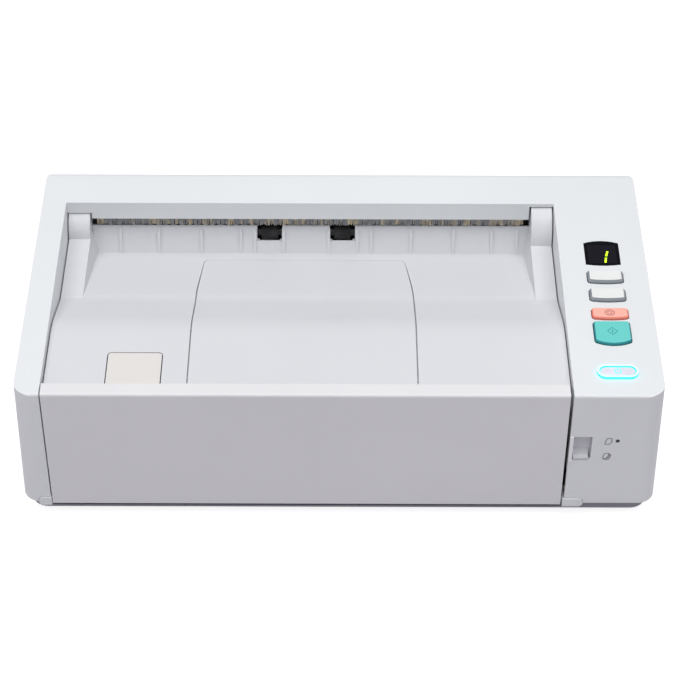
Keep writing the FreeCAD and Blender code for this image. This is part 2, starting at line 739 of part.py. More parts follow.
def tab_boxes(grow):
    """Outlines of the two hinge caps at the lower front corners of the door."""
    shapes = []
    low, high = TAB_BOTTOM, TAB_BOTTOM + TAB_HEIGHT
    for x0, x1 in tab_spans():
        outer = x0 - grow if x0 < 0 else x1 + grow
        shape = box(x0 - grow, x1 + grow, -85, -69, low - grow, high + grow)
        ends = [e for e in shape.Edges if span(e)[1] > 5 and abs(e.BoundBox.XMin - outer) < 0.1]
        shapes.append(shape.makeFillet(TAB_END_R + grow, ends))
    return shapes


def tab_spans():
    left = RECESS_LEFT + 0.3
    right = RECESS_RIGHT - 0.8
    return ((left - TAB_LEFT_WIDTH, left), (right, right + TAB_RIGHT_WIDTH))


def outer_cover():
    cover = make_outer_cover().cut(notches())
    posts = [post(x, y, POST_Z, 90, BOSS_R) for x, y in screw_places()]
    limit = under_top(WALL / 2, TOP_EDGE_R, BACK_EDGE_R)
    cover = join(cover, *[p.common(limit).common(tub(0, 100, WALL / 2, CORNER_R)) for p in posts])
    cover = cover.cut([post(x, y, 0, POST_Z + SCREW_LENGTH, SCREW_R) for x, y in screw_places()])
    cover = cover.cut(console_cuts() + lever_face_cuts() + connector_cuts() + tab_boxes(0.3))
    pins = []
    for y, z, r in ((HINGE_Y, HINGE_Z, HINGE_PIN_R + 0.4),):
        pins.append(rod(-FAR, FAR, y, z, r).common(box(-135, 106, 0, 90, 0, 90)))
        slot = box(-134.5, RECESS_LEFT + 0.1, y - r, y + r, 0, z)
        pins.append(slot.fuse(box(RECESS_RIGHT - 0.1, 105.6, y - r, y + r, 0, z)))
    cover = cover.cut(pins)
    lay = LAY_LINE
    cover = cover.cut(box(RECESS_RIGHT - 1, 105.6, lay[0] - 3.5, lay[0] + 3.5, 0, lay[1] + 3.5))
    vents = [box(x, x + 2.4, 60, 90, 44, 62) for x in (112.0, 117.5, 123.0, 128.5)]
    lock = box(118.4, 125.6, 70, 90, 17.0, 20.2)
    return cover.cut(vents + [lock]).removeSplitter()


def make_hinge_bracket(side):
    """Upright plate that carries one hinge pin of the upper unit."""
    x0 = -138.8 if side < 0 else 106.4
    x1 = x0 + 2.4
    out = Outline((46, PAN_TOP)).line((68, PAN_TOP), (66, 30))
    out.turn(HINGE_Y, HINGE_Z, 7.0, -10, 190)
    plate = out.line((48, 30)).slab(x0, x1)
    foot_x0, foot_x1 = (x0, x1 + 2.0) if side > 0 else (x0 + 0.4, x1 + 4)
    foot = box(foot_x0, foot_x1, 46, 68, PAN_TOP, PAN_TOP + 2.0)
    plate = join(plate, foot)
    plate = plate.cut(rod(x0 - 1, x1 + 1, HINGE_Y, HINGE_Z, HINGE_PIN_R))
    if side > 0:
        plate = plate.cut(rod(x0 - 1, x1 + 1, LAY_LINE[0], LAY_LINE[1], LAY_SHAFT_R + 1.5))
    return plate


def make_hinge_pins():
    left = rod(-138.8, UNIT_LEFT + 6.0, HINGE_Y, HINGE_Z, HINGE_PIN_R)
    right = rod(UNIT_RIGHT - 6.0, 108.8, HINGE_Y, HINGE_Z, HINGE_PIN_R)
    return Part.makeCompound([left, right])


def make_lower_guide():
    x0, x1 = LOWER_PLATE_LEFT, LOWER_PLATE_RIGHT + SIDE_PLATE
    top = LOWER_TOP
    plates = []
    for a in (LOWER_PLATE_LEFT, LOWER_PLATE_RIGHT):
        out = Outline((LOWER_FRONT + 1.5, PAN_TOP)).line((56, PAN_TOP), (56, 10))
        out.line((TURN_Y, top - 3), (TURN_Y, top))
        out.line((LOWER_FRONT + 4, top), (LOWER_FRONT, top - LOWER_RAMP))
        plates.append(out.slab(a, a + SIDE_PLATE))
    front = Outline((LOWER_FRONT, top - LOWER_RAMP - 0.6)).line((LOWER_FRONT, top - LOWER_RAMP))
    front.line((LOWER_FRONT + 4, top), (TURN_Y, top), (TURN_Y, top - GUIDE_SKIN))
    front.line((LOWER_FRONT + 4.5, top - GUIDE_SKIN), (LOWER_FRONT + 1.5, top - LOWER_RAMP - 1.5))
    floor = front.slab(x0 + 0.5, x1 - 0.5)
    lip = box(x0 + 0.5, x1 - 0.5, LOWER_FRONT + 0.05, LOWER_FRONT + 1.6, PAN_TOP + 2, top - LOWER_RAMP)
    ribs = []
    for x in (-100.0, -58.0, 26.0, 68.0):
        ribs.append(box(x, x + 1.4, LOWER_FRONT + 1, FEED_Y + 10, top - 7, top - 1))
    guide = join(floor, lip, *plates, *ribs)
    holes = tyre_slots(LOWER_TYRES, top - GUIDE_SKIN, top)
    for line in (FEED_LINE, FRONT_LINE, REAR_LINE):
        holes.append(rod(x0 - 1, x1 + 1, line[0], line[1], SHAFT_R + SHAFT_FIT))
    y = LOWER_SENSOR_Y
    half = SENSOR_DEPTH / 2 + 0.3
    holes.append(box(PAPER_X - SENSOR_LENGTH / 2 - 0.3, PAPER_X + SENSOR_LENGTH / 2 + 0.3, y - half, y + half,
                     top - GUIDE_SKIN - 1, top + 1))
    return guide.cut(holes).removeSplitter()


def make_rear_turn_guide():
    """Outer half of the U-turn with cheeks that carry the eject rollers."""
    inner, outer = TURN_R + PATH_HALF_GAP, TURN_R + PATH_HALF_GAP + GUIDE_SKIN
    shell = Outline(polar(TURN_Y, TURN_Z, inner, -89.5))
    shell.arc(polar(TURN_Y, TURN_Z, inner, -20), polar(TURN_Y, TURN_Z, inner, TURN_END))
    shell.line(polar(TURN_Y, TURN_Z, outer, TURN_END))
    shell.arc(polar(TURN_Y, TURN_Z, outer, -20), polar(TURN_Y, TURN_Z, outer, -89.5))
    pieces = [shell.slab(TURN_LEFT - CHEEK, TURN_RIGHT + CHEEK)]
    for x in (TURN_LEFT - CHEEK, -90.0, -40.0, 10.0, 55.0, TURN_RIGHT):
        foot = Outline((TURN_Y + 2, PAN_TOP)).line((73.4, PAN_TOP), (73.4, 30))
        foot.turn(TURN_Y, TURN_Z, outer - 0.4, -26, -84)
        pieces.append(foot.slab(x, x + CHEEK))
    for x in (TURN_LEFT - CHEEK, TURN_RIGHT):
        cheek = Outline(polar(TURN_Y, TURN_Z, inner + 0.5, 0))
        cheek.line((74.8, 43), (74.8, 64), (66.5, 72.5), (59.6, 72.5))
        cheek.line((57.9, 69.6), (57.7, 65.3), (55.5, 60.5))
        cheek.line((54.8, 58.0), (60.5, 52.0), (64.5, 47.0), (66, 40.5))
        pieces.append(cheek.slab(x, x + CHEEK))
    stub = rod(TURN_RIGHT, EJECT_GEAR_X + EJECT_GEAR_WIDTH + 0.2, *EJECT_IDLER_LINE, LAY_SHAFT_R)
    guide = join(*pieces, stub)
    cuts = []
    for line, r in ((EJECT_LINE, EJECT_JOURNAL_R), (DRIVE_LINE, EJECT_JOURNAL_R), (LAY_LINE, LAY_SHAFT_R)):
        cuts.append(rod(-FAR, FAR, line[0], line[1], r + SHAFT_FIT))
    for x0, x1, at, radius in EJECT_TYRES + DRIVE_TYRES:
        cuts.append(rod(x0 - 1, x1 + 1, at[0], at[1], radius + 1.0))
    return guide.cut(cuts).removeSplitter()


EJECT_PLACES = (-WINDOW_OFFSET, WINDOW_OFFSET)
EJECT_TYRES = tyres(EJECT_LINE, EJECT_R, EJECT_TYRE_WIDTH, EJECT_PLACES)
DRIVE_TYRES = tyres(DRIVE_LINE, EJECT_DRIVE_R, EJECT_TYRE_WIDTH, EJECT_PLACES)


def make_tray():
    """Top moulding of the upper unit: tray, ribbed wall, arms and skirts."""
    x0, x1 = UNIT_LEFT, UNIT_RIGHT
    inner_left, inner_right = x0 + ARM_LEFT_WIDTH, x1 - ARM_RIGHT_WIDTH
    slope = math.atan2(WALL_LIP[1] - WALL_FOOT[1], WALL_LIP[0] - WALL_FOOT[0])
    back = (math.sin(slope) * WALL_THICK, -math.cos(slope) * WALL_THICK)
    wall = polygon([WALL_FOOT, WALL_LIP, (WALL_LIP[0] + back[0], WALL_LIP[1] + back[1]),
                    (WALL_FOOT[0] + back[0], WALL_FOOT[1] + back[1] - 1.0),
                     (WALL_FOOT[0] - 2, WALL_FOOT[1] - TRAY_SKIN)],
                   inner_left - 0.5, inner_right + 0.5)
    windows = []
    for side in (-1, 1):
        x = PAPER_X + side * WINDOW_OFFSET
        windows.append(box(x - WINDOW_WIDTH / 2, x + WINDOW_WIDTH / 2, 50, 62, WINDOW_BOTTOM, 70))
    for a, b, at, radius in EJECT_TYRES:
        windows.append(rod(a - 1, b + 1, at[0], at[1], radius + 0.6))
    pieces = [tray_layer(0, TRAY_SKIN, x0, x1)]
    for n, side in enumerate((-1, 1)):
        pieces.append(make_arm(side))
        a = x0 if side < 0 else x1 - SKIRT_THICK
        out = tray_top(Outline((TRAY_FRONT, top_z(TRAY_FRONT) - TRAY_DROP - 1.0)), False, 1.0)
        out.line((50, 50.5), (43, SIDE_SKIRT_BOTTOM), (-62.0, SIDE_SKIRT_BOTTOM), (-62.6, 47))
        pieces.append(out.slab(a, a + SKIRT_THICK))
    lean = (LINER_HEAD[0] - LINER_HEEL[0]) / (LINER_HEAD[1] - LINER_HEEL[1])
    low_y = TRAY_FRONT + (FRONT_SKIRT_BOTTOM - 70) * lean
    pieces.append(polygon([(TRAY_FRONT, 73.2), (TRAY_FRONT, 70), (low_y, FRONT_SKIRT_BOTTOM),
                           (low_y + SKIRT_THICK, FRONT_SKIRT_BOTTOM),
                            (TRAY_FRONT + SKIRT_THICK, 73.2)], x0, x1))
    floor_depth = PANEL_THICK + PANEL_GAP + PANEL_FLOOR
    pieces.append(tray_layer(TRAY_SKIN - 0.5, floor_depth, PANEL_LEFT - 3, PANEL_RIGHT + 3))
    for side in (-1, 1):
        pieces.append(scoop(side, SCOOP_SKIN).common(under_tray(0.5)))
    tray = join(*pieces)
    pocket = panel_prism(PANEL_SIDE_GAP, PANEL_BACK_GAP)
    tray = tray.cut(pocket.common(tray_layer(-9, PANEL_THICK + PANEL_GAP, -FAR, FAR)))
    room_left, room_right = PANEL_LEFT - PANEL_GAP, PANEL_RIGHT + PANEL_GAP
    knuckle = rod(room_left, room_right, *panel_hinge(), PANEL_KNUCKLE_R + PANEL_GAP)
    pins = rod(PANEL_LEFT - 1.8, PANEL_RIGHT + 1.8, *panel_hinge(), PANEL_PIN_R + 0.05)
    mouth = box(room_left, room_right, -80, PANEL_HINGE_Y, panel_hinge()[1] - 0.4, 90)
    tray = tray.cut([knuckle, pins, mouth, scoop(-1, 0.0), scoop(1, 0.0)])
    tray = tray.fuse(wall).cut(windows)
    ribs = []
    for offset in RIB_OFFSETS:
        for x in (PAPER_X - offset, PAPER_X + offset):
            if inner_left < x < inner_right:
                ribs.append(wall_rib(x))
    tray = join(tray, *ribs)
    key = box(OPEN_LEFT - OPEN_GAP, OPEN_LEFT + OPEN_WIDTH + OPEN_GAP, -80, OPEN_BACK + OPEN_GAP, 66.0, 90)
    key = rounded(key, 1.5 + OPEN_GAP, lambda e: upright(e) and e.BoundBox.YMax > OPEN_BACK)
    return tray.cut(key).removeSplitter()


def panel_hinge():
    return (PANEL_HINGE_Y, top_z(PANEL_HINGE_Y) - TRAY_DROP - PANEL_HINGE_DROP)


def under_tray(depth):
    """Everything below the tray's surface by depth, down to the skirts."""
    start = (TRAY_FRONT, top_z(TRAY_FRONT) - TRAY_DROP - depth)
    out = tray_top(Outline(start), False, depth)
    return out.line((WALL_FOOT[0], 30), (TRAY_FRONT, 30)).slab(-FAR, FAR)


def scoop(side, shell):
    """Finger hollow beside the panel: part of a cone that deepens towards the panel's edge."""
    slope = (WALL_FOOT[1] - KNEE_BOTTOM[1]) / (WALL_FOOT[0] - KNEE_BOTTOM[0])
    normal = Vector(0, -slope, 1).normalize()
    edge = PANEL_RIGHT if side > 0 else PANEL_LEFT
    z = KNEE_BOTTOM[1] + (SCOOP_Y - KNEE_BOTTOM[0]) * slope
    big = (SCOOP_HALF ** 2 + SCOOP_DEEP ** 2) / (2 * SCOOP_DEEP)
    small = big / 3
    far = Vector(edge + side * SCOOP_LENGTH, SCOOP_Y, z) + normal * small
    near = Vector(edge - side * 3.0, SCOOP_Y, z) + normal * (big - SCOOP_DEEP)
    axis = near - far
    cone = Part.makeCone(small + shell, big + shell, axis.Length, far, axis)
    reach = edge - side * (1.0 + shell)
    x0, x1 = (reach, FAR) if side > 0 else (-FAR, reach)
    return cone.common(box(x0, x1, 0, 60, 30, 90))


def wall_rib(x):
    """Upright rib on the front of the wall that tapers out at its foot and is bevelled at its head."""
    lean = (WALL_LIP[0] - WALL_FOOT[0]) / (WALL_LIP[1] - WALL_FOOT[1])
    head = WALL_LIP[1] - RIB_DROP
    face = WALL_LIP[0] - RIB_DROP * lean
    foot = (WALL_FOOT[0] - 0.4, WALL_FOOT[1] + 0.1)
    bevel = (face - RIB_PROUD - lean * RIB_PROUD, head - RIB_PROUD)
    return polygon([foot, bevel, (face, head), (face + 0.8, head), (WALL_FOOT[0] + 0.8, WALL_FOOT[1] - 0.4)],
                   x - RIB_WIDTH / 2, x + RIB_WIDTH / 2)


def make_arm(side):
    nose = ARM_LEFT_NOSE_R if side < 0 else ARM_RIGHT_NOSE_R
    x0 = UNIT_LEFT if side < 0 else UNIT_RIGHT - ARM_RIGHT_WIDTH
    x1 = UNIT_LEFT + ARM_LEFT_WIDTH if side < 0 else UNIT_RIGHT
    fade = (2.0, top_z(2.0) - ARM_DEPTH)
    crease = (HINGE_Y - nose, HINGE_Z)
    out = Outline(fade).line(crease)
    out.arc(polar(HINGE_Y, HINGE_Z, nose, 90), polar(HINGE_Y, HINGE_Z, nose, 0))
    out.arc(polar(HINGE_Y, HINGE_Z, nose, -45), polar(HINGE_Y, HINGE_Z, nose, -90))
    out.line((47, 48), (40, 50), (6, 60.5))
    arm = out.slab(x0, x1).fuse(arm_flank(side, x1 if side < 0 else x0, fade, crease))
    hole = (x0 - 1, x0 + 6.5) if side < 0 else (x1 - 6.5, x1 + 1)
    return arm.cut(rod(hole[0], hole[1], HINGE_Y, HINGE_Z, HINGE_PIN_R + HINGE_FIT))


def arm_flank(side, x, fade, crease):
    """Leaning inner face of an arm, wider towards the tray and running out at the front."""
    drop = 14.0
    points = [(x + side * 1.0, fade[1]), (x, fade[1]), (x - side * drop * ARM_LEAN, fade[1] - drop),
              (x + side * 1.0, fade[1] - drop)]
    face = Part.Face(Part.makePolygon([Vector(a, fade[0], b) for a, b in points + points[:1]]))
    run = Vector(0, crease[0] - fade[0], crease[1] - fade[1])
    flank = face.extrude(run * ((WALL_FOOT[0] + 3.0 - fade[0]) / run.y))
    return flank.cut(under_tray(1.0))


def panel_prism(side, back):
    """Outline of the extension panel seen from above, grown at its sides and its back."""
    x0, x1 = PANEL_LEFT - side, PANEL_RIGHT + side
    b0, b1 = PANEL_BACK_LEFT - back, PANEL_BACK_RIGHT + back
    y0 = PANEL_HINGE_Y
    y1 = PANEL_BACK + back
    points = [(x0, y0), (x1, y0), (x1, PANEL_BEND_Y), (b1, y1), (b0, y1), (x0, PANEL_BEND_Y)]
    wire = Part.makePolygon([Vector(x, y, 40) for x, y in points + points[:1]])
    solid = Part.Face(wire).extrude(Vector(0, 0, 50))
    solid = rounded(solid, PANEL_SWEEP, lambda e: upright(e) and abs(e.BoundBox.YMin - PANEL_BEND_Y) < 0.1)
    return rounded(solid, PANEL_CORNER, lambda e: upright(e) and e.BoundBox.YMin > PANEL_BACK - 1)


def make_panel():
    plate = panel_prism(0.0, 0.0).common(tray_layer(0, PANEL_THICK, -FAR, FAR))
    y, z = panel_hinge()
    barrel = rod(PANEL_LEFT, PANEL_RIGHT, y, z, PANEL_KNUCKLE_R)
    pins = rod(PANEL_LEFT - 1.6, PANEL_RIGHT + 1.6, y, z, PANEL_PIN_R)
    return join(plate, barrel, pins)


def make_open_key():
    x0, x1 = OPEN_LEFT, OPEN_LEFT + OPEN_WIDTH
    y0, y1 = OPEN_FRONT, OPEN_BACK
    cap = polygon([(y0, top_z(y0) - TRAY_DROP), (y1, top_z(y1) - TRAY_DROP), (y1, 69.0), (y0, 69.0)], x0, x1)
    cap = rounded(cap, 1.5, lambda e: upright(e) and e.BoundBox.YMin > OPEN_BACK - 0.1)
    hollow = box(x0 + 1.6, x1 - 1.6, y0 + 1.6, y1 - 1.6, 60, 71.4)
    stem = box(x0 + 10, x1 - 10, -54.0, -48.0, 62.0, 72.0)
    return join(cap.cut(hollow), stem)


def make_upper_guide():
    bottom = UPPER_BOTTOM
    inner, core = TURN_R - PATH_HALF_GAP, TURN_R - PATH_HALF_GAP - GUIDE_SKIN
    left, right = UPPER_PLATE_LEFT, UPPER_PLATE_RIGHT + UPPER_PLATE
    lead = math.sqrt(UPPER_FRONT_R ** 2 - (HINGE_Z - bottom) ** 2)
    front = HINGE_Y - lead
    sheet = Outline((front + MOUTH_DEPTH, bottom)).line((TURN_Y, bottom))
    sheet.arc(polar(TURN_Y, TURN_Z, inner, -10), polar(TURN_Y, TURN_Z, inner, CORE_END))
    sheet.line(polar(TURN_Y, TURN_Z, core, CORE_END))
    sheet.arc(polar(TURN_Y, TURN_Z, core, -10), (TURN_Y, bottom + GUIDE_SKIN))
    sheet.line((front + MOUTH_DEPTH + 0.6, bottom + GUIDE_SKIN))
    turn = sheet.slab(PATH_LEFT + 1.8, PATH_RIGHT - 1.3)
    flat = box(left, right, front + MOUTH_DEPTH, 43.0, bottom, bottom + GUIDE_SKIN)
    mouth = polygon([(front + MOUTH_DEPTH + 0.2, bottom), (front + MOUTH_DEPTH + 0.2, bottom + GUIDE_SKIN),
                     (front + 1.8, bottom + MOUTH_HEIGHT), (front, bottom + MOUTH_HEIGHT)], left, right)
    wall_top = 53.5
    wall = Outline((front, bottom + MOUTH_HEIGHT - 0.2)).line((front + 1.8, bottom + MOUTH_HEIGHT))
    wall.line((front - 6.8, wall_top), (front - 8.6, wall_top))
    wall = wall.slab(left, right)
    pieces = [turn, flat, mouth, wall]
    for x in (left, UPPER_PLATE_RIGHT):
        plate = Outline((front + MOUTH_DEPTH, bottom)).line((43.0, bottom), (45, 26), (45, 46), (38, 50))
        plate.line((8, wall_top), (front - 6.8, wall_top), (front + 1.0, bottom + MOUTH_HEIGHT))
        pieces.append(plate.slab(x, x + UPPER_PLATE))
    for x in (-104.0, -52.0, 18.0, 71.0):
        pieces.append(box(x, x + 1.4, -40, 40, bottom + 1, bottom + GUIDE_SKIN + 3.0))
    for x in (PAPER_X - RETARD_HALF, PAPER_X + RETARD_HALF - 2.0):
        ear = Outline((RETARD_LINE[0] - 4.5, bottom + 1)).line((RETARD_LINE[0] - 4.5, RETARD_LINE[1]))
        ear.turn(*RETARD_LINE, 4.5, 180, 0)
        pieces.append(ear.line((RETARD_LINE[0] + 4.5, bottom + 1)).slab(x, x + 2.0))
    guide = join(*pieces)
    holes = tyre_slots(UPPER_TYRES, bottom, bottom + GUIDE_SKIN + 3.0)
    for x0, x1, line, radius in UPPER_TYRES:
        if line == RETARD_LINE:
            holes.append(rod(x0 - TYRE_CLEAR, x1 + TYRE_CLEAR, line[0], line[1], radius + TYRE_CLEAR))
    holes.append(rod(PAPER_X - RETARD_HALF - 1, PAPER_X + RETARD_HALF + 1, *RETARD_LINE, SHAFT_R + SHAFT_FIT))
    for line in (FRONT_IDLER_LINE, REAR_IDLER_LINE):
        holes.append(rod(left - 1, right + 1, line[0], line[1], IDLER_AXLE_R + SHAFT_FIT))
    holes.append(rod(left - 1, right + 1, LATCH_Y, LATCH_Z, LATCH_R + SHAFT_FIT))
    for x in hook_places():
        y0, y1 = LATCH_Y - 6.5, LATCH_Y + 10.5
        holes.append(box(x - 0.6, x + HOOK_WIDTH + 0.6, y0, y1, bottom - 1, bottom + 11))
    half = SENSOR_DEPTH / 2 + 0.3
    y = UPPER_SENSOR_Y
    holes.append(box(PAPER_X - SENSOR_LENGTH / 2 - 0.3, PAPER_X + SENSOR_LENGTH / 2 + 0.3, y - half, y + half,
                     bottom - 1, bottom + 8))
    return guide.cut(holes).removeSplitter()


def make_sensor(side):
    """Long image sensor module, open at its glass side."""
    y = LOWER_SENSOR_Y if side < 0 else UPPER_SENSOR_Y
    x0, x1 = PAPER_X - SENSOR_LENGTH / 2, PAPER_X + SENSOR_LENGTH / 2
    y0, y1 = y - SENSOR_DEPTH / 2, y + SENSOR_DEPTH / 2
    if side < 0:
        z1 = LOWER_TOP - GLASS_SET_BACK
        z0 = z1 - SENSOR_HEIGHT
        seat = box(x0 + 2, x1 - 2, y0 + 1.2, y1 - 1.2, z1 - SENSOR_GLASS, z1 + 1)
        well = box(x0 + 5, x1 - 5, y - 3, y + 3, z0 + 2, z1)
    else:
        z0 = UPPER_BOTTOM + GLASS_SET_BACK
        z1 = z0 + SENSOR_HEIGHT
        seat = box(x0 + 2, x1 - 2, y0 + 1.2, y1 - 1.2, z0 - 1, z0 + SENSOR_GLASS)
        well = box(x0 + 5, x1 - 5, y - 3, y + 3, z0, z1 - 2)
    body = box(x0, x1, y0, y1, z0, z1).cut([seat, well])
    return body


def make_sensor_glass(side):
    y = LOWER_SENSOR_Y if side < 0 else UPPER_SENSOR_Y
    x0, x1 = PAPER_X - SENSOR_LENGTH / 2 + 2, PAPER_X + SENSOR_LENGTH / 2 - 2
    y0, y1 = y - SENSOR_DEPTH / 2 + 1.2, y + SENSOR_DEPTH / 2 - 1.2
    z1 = LOWER_TOP - GLASS_SET_BACK if side < 0 else UPPER_BOTTOM + GLASS_SET_BACK + SENSOR_GLASS
    return box(x0, x1, y0, y1, z1 - SENSOR_GLASS, z1)


DOOR_LEFT = RECESS_LEFT + DOOR_GAP_LEFT
DOOR_RIGHT = RECESS_RIGHT - DOOR_GAP_RIGHT


def make_door_panel():
    """Front door: outer skin, top strip and lower lip."""
    skin = tub(DOOR_BOTTOM, 100.0, 0.0, 1.0).common(under_top(0.0, TOP_EDGE_R, BACK_EDGE_R))
    strip_back = FRONT_Y + DOOR_STRIP
    inner = polygon([(front_y(0) + DOOR_SKIN, 0), (FRONT_Y + DOOR_SKIN, top_z(FRONT_Y) - DOOR_SKIN),
                     (80, top_z(80) - DOOR_SKIN), (80, 0)], -FAR, FAR)
    door = skin.cut(inner).common(box(DOOR_LEFT, DOOR_RIGHT, -FAR, strip_back, 0, FAR))
    lip = box(DOOR_LEFT, DOOR_RIGHT, front_y(DOOR_BOTTOM) + 1.0, front_y(DOOR_BOTTOM) + DOOR_LIP,
              DOOR_BOTTOM, DOOR_BOTTOM + 1.2)
    pins = []
    for x in (DOOR_LEFT, DOOR_RIGHT - 2.4):
        boss = rod(x, x + 2.4, DOOR_HINGE_Y, DOOR_HINGE_Z, 2.4)
        arm = box(x, x + 2.4, front_y(DOOR_HINGE_Z) + 1.0, DOOR_HINGE_Y, DOOR_BOTTOM, DOOR_HINGE_Z + 2.4)
        pins.append(boss.fuse(arm))
    pins.append(rod(DOOR_LEFT - DOOR_PIN_LENGTH, DOOR_LEFT + 1, DOOR_HINGE_Y, DOOR_HINGE_Z, DOOR_PIN_R))
    pins.append(rod(DOOR_RIGHT - 1, DOOR_RIGHT + DOOR_PIN_LENGTH + 1, DOOR_HINGE_Y, DOOR_HINGE_Z, DOOR_PIN_R))
    return join(door, lip, *pins)


def liner_face(z):
    """Inner face of the door liner at one height."""
    share = (z - LINER_HEEL[1]) / (LINER_HEAD[1] - LINER_HEEL[1])
    return LINER_HEEL[0] + share * (LINER_HEAD[0] - LINER_HEEL[0])


def make_door_liner():
    x0, x1 = DOOR_LEFT + 2.8, DOOR_RIGHT - 2.8
    s = LINER_SKIN
    heel_y, heel_z = LINER_HEEL
    out = Outline((LINER_HEAD[0], LINER_HEAD[1]))
    out.line(LINER_HEEL, (heel_y, LINER_BOTTOM), (-71.0, LINER_BOTTOM))
    out.line((-71.0, LINER_BOTTOM + s), (heel_y - s, LINER_BOTTOM + s), (heel_y - s, heel_z))
    out.line((LINER_HEAD[0] - s + 0.35, LINER_HEAD[1]))
    sheet = out.slab(x0, x1)
    ends = []
    for x in (x0, x1 - s):
        end = polygon([(LINER_HEAD[0] - 0.5, LINER_HEAD[1]), (LINER_HEEL[0] - 0.5, LINER_HEEL[1]),
                       (LINER_HEEL[0] - 0.5, LINER_BOTTOM + 0.5), (-71.0, LINER_BOTTOM + 0.5),
                       (-71.0, 14.6), (-74.6, 17.0), (front_y(30) + DOOR_SKIN + 0.1, 30),
                       (front_y(70) + DOOR_SKIN + 0.1, 70), (-72.6, LINER_HEAD[1])], x, x + s)
        ends.append(end)
    liner = join(sheet, *ends)
    z0, z1 = GUIDE_SLOT_Z, GUIDE_SLOT_Z + GUIDE_SLOT_HEIGHT
    cuts = []
    for side in (-1, 1):
        far = GUIDE_SPREAD + GUIDE_FIN
        near = GUIDE_SPREAD - GUIDE_TRAVEL - GUIDE_FIN - GUIDE_FOOT_WIDTH
        a, b = sorted((PAPER_X + side * near, PAPER_X + side * far))
        cuts.append(box(a - 1.0, b + 1.0, -75, -50, z0, z1))
    centre = GUIDE_SLOT_Z + GUIDE_SLOT_HEIGHT / 2
    pin = pin_y(PAPER_X, centre, RACK_Y - 0.6, liner_face(centre) - 0.8, 1.5)
    return liner.cut(cuts).fuse(pin).removeSplitter()


def make_paper_guide(side):
    """Sliding side guide: fin on the face of the liner and rack behind it."""
    x = PAPER_X + side * GUIDE_SPREAD
    xa, xb = sorted((x, x + side * GUIDE_FIN))
    low, high = GUIDE_LOW, GUIDE_HIGH
    reach = LINER_HEEL[0] + 0.2
    fin = Outline((liner_face(low) + 0.15, low)).line((reach - 3.0, low))
    fin.line((reach, low + 5), (reach, high - 8))
    fin.line((liner_face(high) + 1.5, high), (liner_face(high) + 0.15, high))
    fin = fin.slab(xa, xb)
    inward = x - side * GUIDE_FOOT_WIDTH
    fa, fb = sorted((inward, x + side * GUIDE_FIN))
    sole, top = GUIDE_SLOT_Z - 0.4, GUIDE_SLOT_Z + 2 * GUIDE_SLOT_HEIGHT
    foot = polygon([(liner_face(sole) + 0.15, sole), (liner_face(sole) + 1.35, sole),
                    (liner_face(top) + 1.35, top), (liner_face(top) + 0.15, top)], fa, fb)
    neck_z = GUIDE_SLOT_Z + 0.3
    neck_top = neck_z + GUIDE_SLOT_HEIGHT - 0.6
    neck = box(fa + 3, fb - 3, liner_face(neck_z) - 4.4, liner_face(neck_z) + 0.9, neck_z, neck_top)
    rack_y = RACK_Y
    centre = GUIDE_SLOT_Z + GUIDE_SLOT_HEIGHT / 2
    pitch = RACK_MODULE * RACK_PINION_TEETH / 2
    z = centre + side * (pitch + 1.2 * RACK_MODULE + 0.1)
    za, zb = (z, z + RACK_HEIGHT) if side > 0 else (z - RACK_HEIGHT, z)
    ra, rb = sorted((PAPER_X - side * 8.0, x))
    step = math.pi * RACK_MODULE
    n0 = math.ceil((ra - PAPER_X) / step) + 1
    n1 = math.floor((rb - PAPER_X) / step) - 1
    tip = z - side * 2.1 * RACK_MODULE
    back = z + side * RACK_HEIGHT
    points = [(ra, back), (ra, z)]
    for n in range(n0, n1 + 1):
        c = PAPER_X + n * step
        points += [(c - 0.32 * step, z), (c - 0.14 * step, tip), (c + 0.14 * step, tip), (c + 0.32 * step, z)]
    points += [(rb, z), (rb, back)]
    wire = Part.makePolygon([Vector(px, rack_y, pz) for px, pz in points + points[:1]])
    rack = Part.Face(wire).extrude(Vector(0, RACK_THICK, 0))
    neck_top = neck_z + GUIDE_SLOT_HEIGHT - 0.6
    link = box(fa + 3, fb - 3, rack_y, rack_y + RACK_THICK, min(za, neck_z), max(zb, neck_top))
    neck = box(fa + 3, fb - 3, rack_y, liner_face(neck_z) + 0.9, neck_z, neck_z + GUIDE_SLOT_HEIGHT - 0.6)
    return join(fin, foot, neck, link, rack)


RACK_Y = -67.6


def make_guide_pinion():
    """Pinion between the two racks, turning about Y."""
    y = RACK_Y
    centre = GUIDE_SLOT_Z + GUIDE_SLOT_HEIGHT / 2
    pitch = RACK_MODULE * RACK_PINION_TEETH / 2
    tip, root = pitch + 0.9 * RACK_MODULE, pitch - 1.2 * RACK_MODULE
    step = 2 * math.pi / RACK_PINION_TEETH
    points = []
    for n in range(RACK_PINION_TEETH):
        for share, r in ((-0.32, root), (-0.14, tip), (0.14, tip), (0.32, root)):
            a = math.pi / 2 + (n + 0.5 + share) * step
            points.append(Vector(PAPER_X + r * math.cos(a), y, centre + r * math.sin(a)))
    wheel = Part.Face(Part.makePolygon(points + points[:1])).extrude(Vector(0, RACK_THICK, 0))
    return wheel.cut(pin_y(PAPER_X, centre, y - 1, y + RACK_THICK + 1, 1.5 + SHAFT_FIT))


def make_plate():
    """Feed tray extension that slides up behind the door's top strip."""
    plate = box(PLATE_LEFT, PLATE_RIGHT, -70.3, -70.3 + PLATE_THICK, PLATE_LOW, PLATE_HIGH)
    return plate


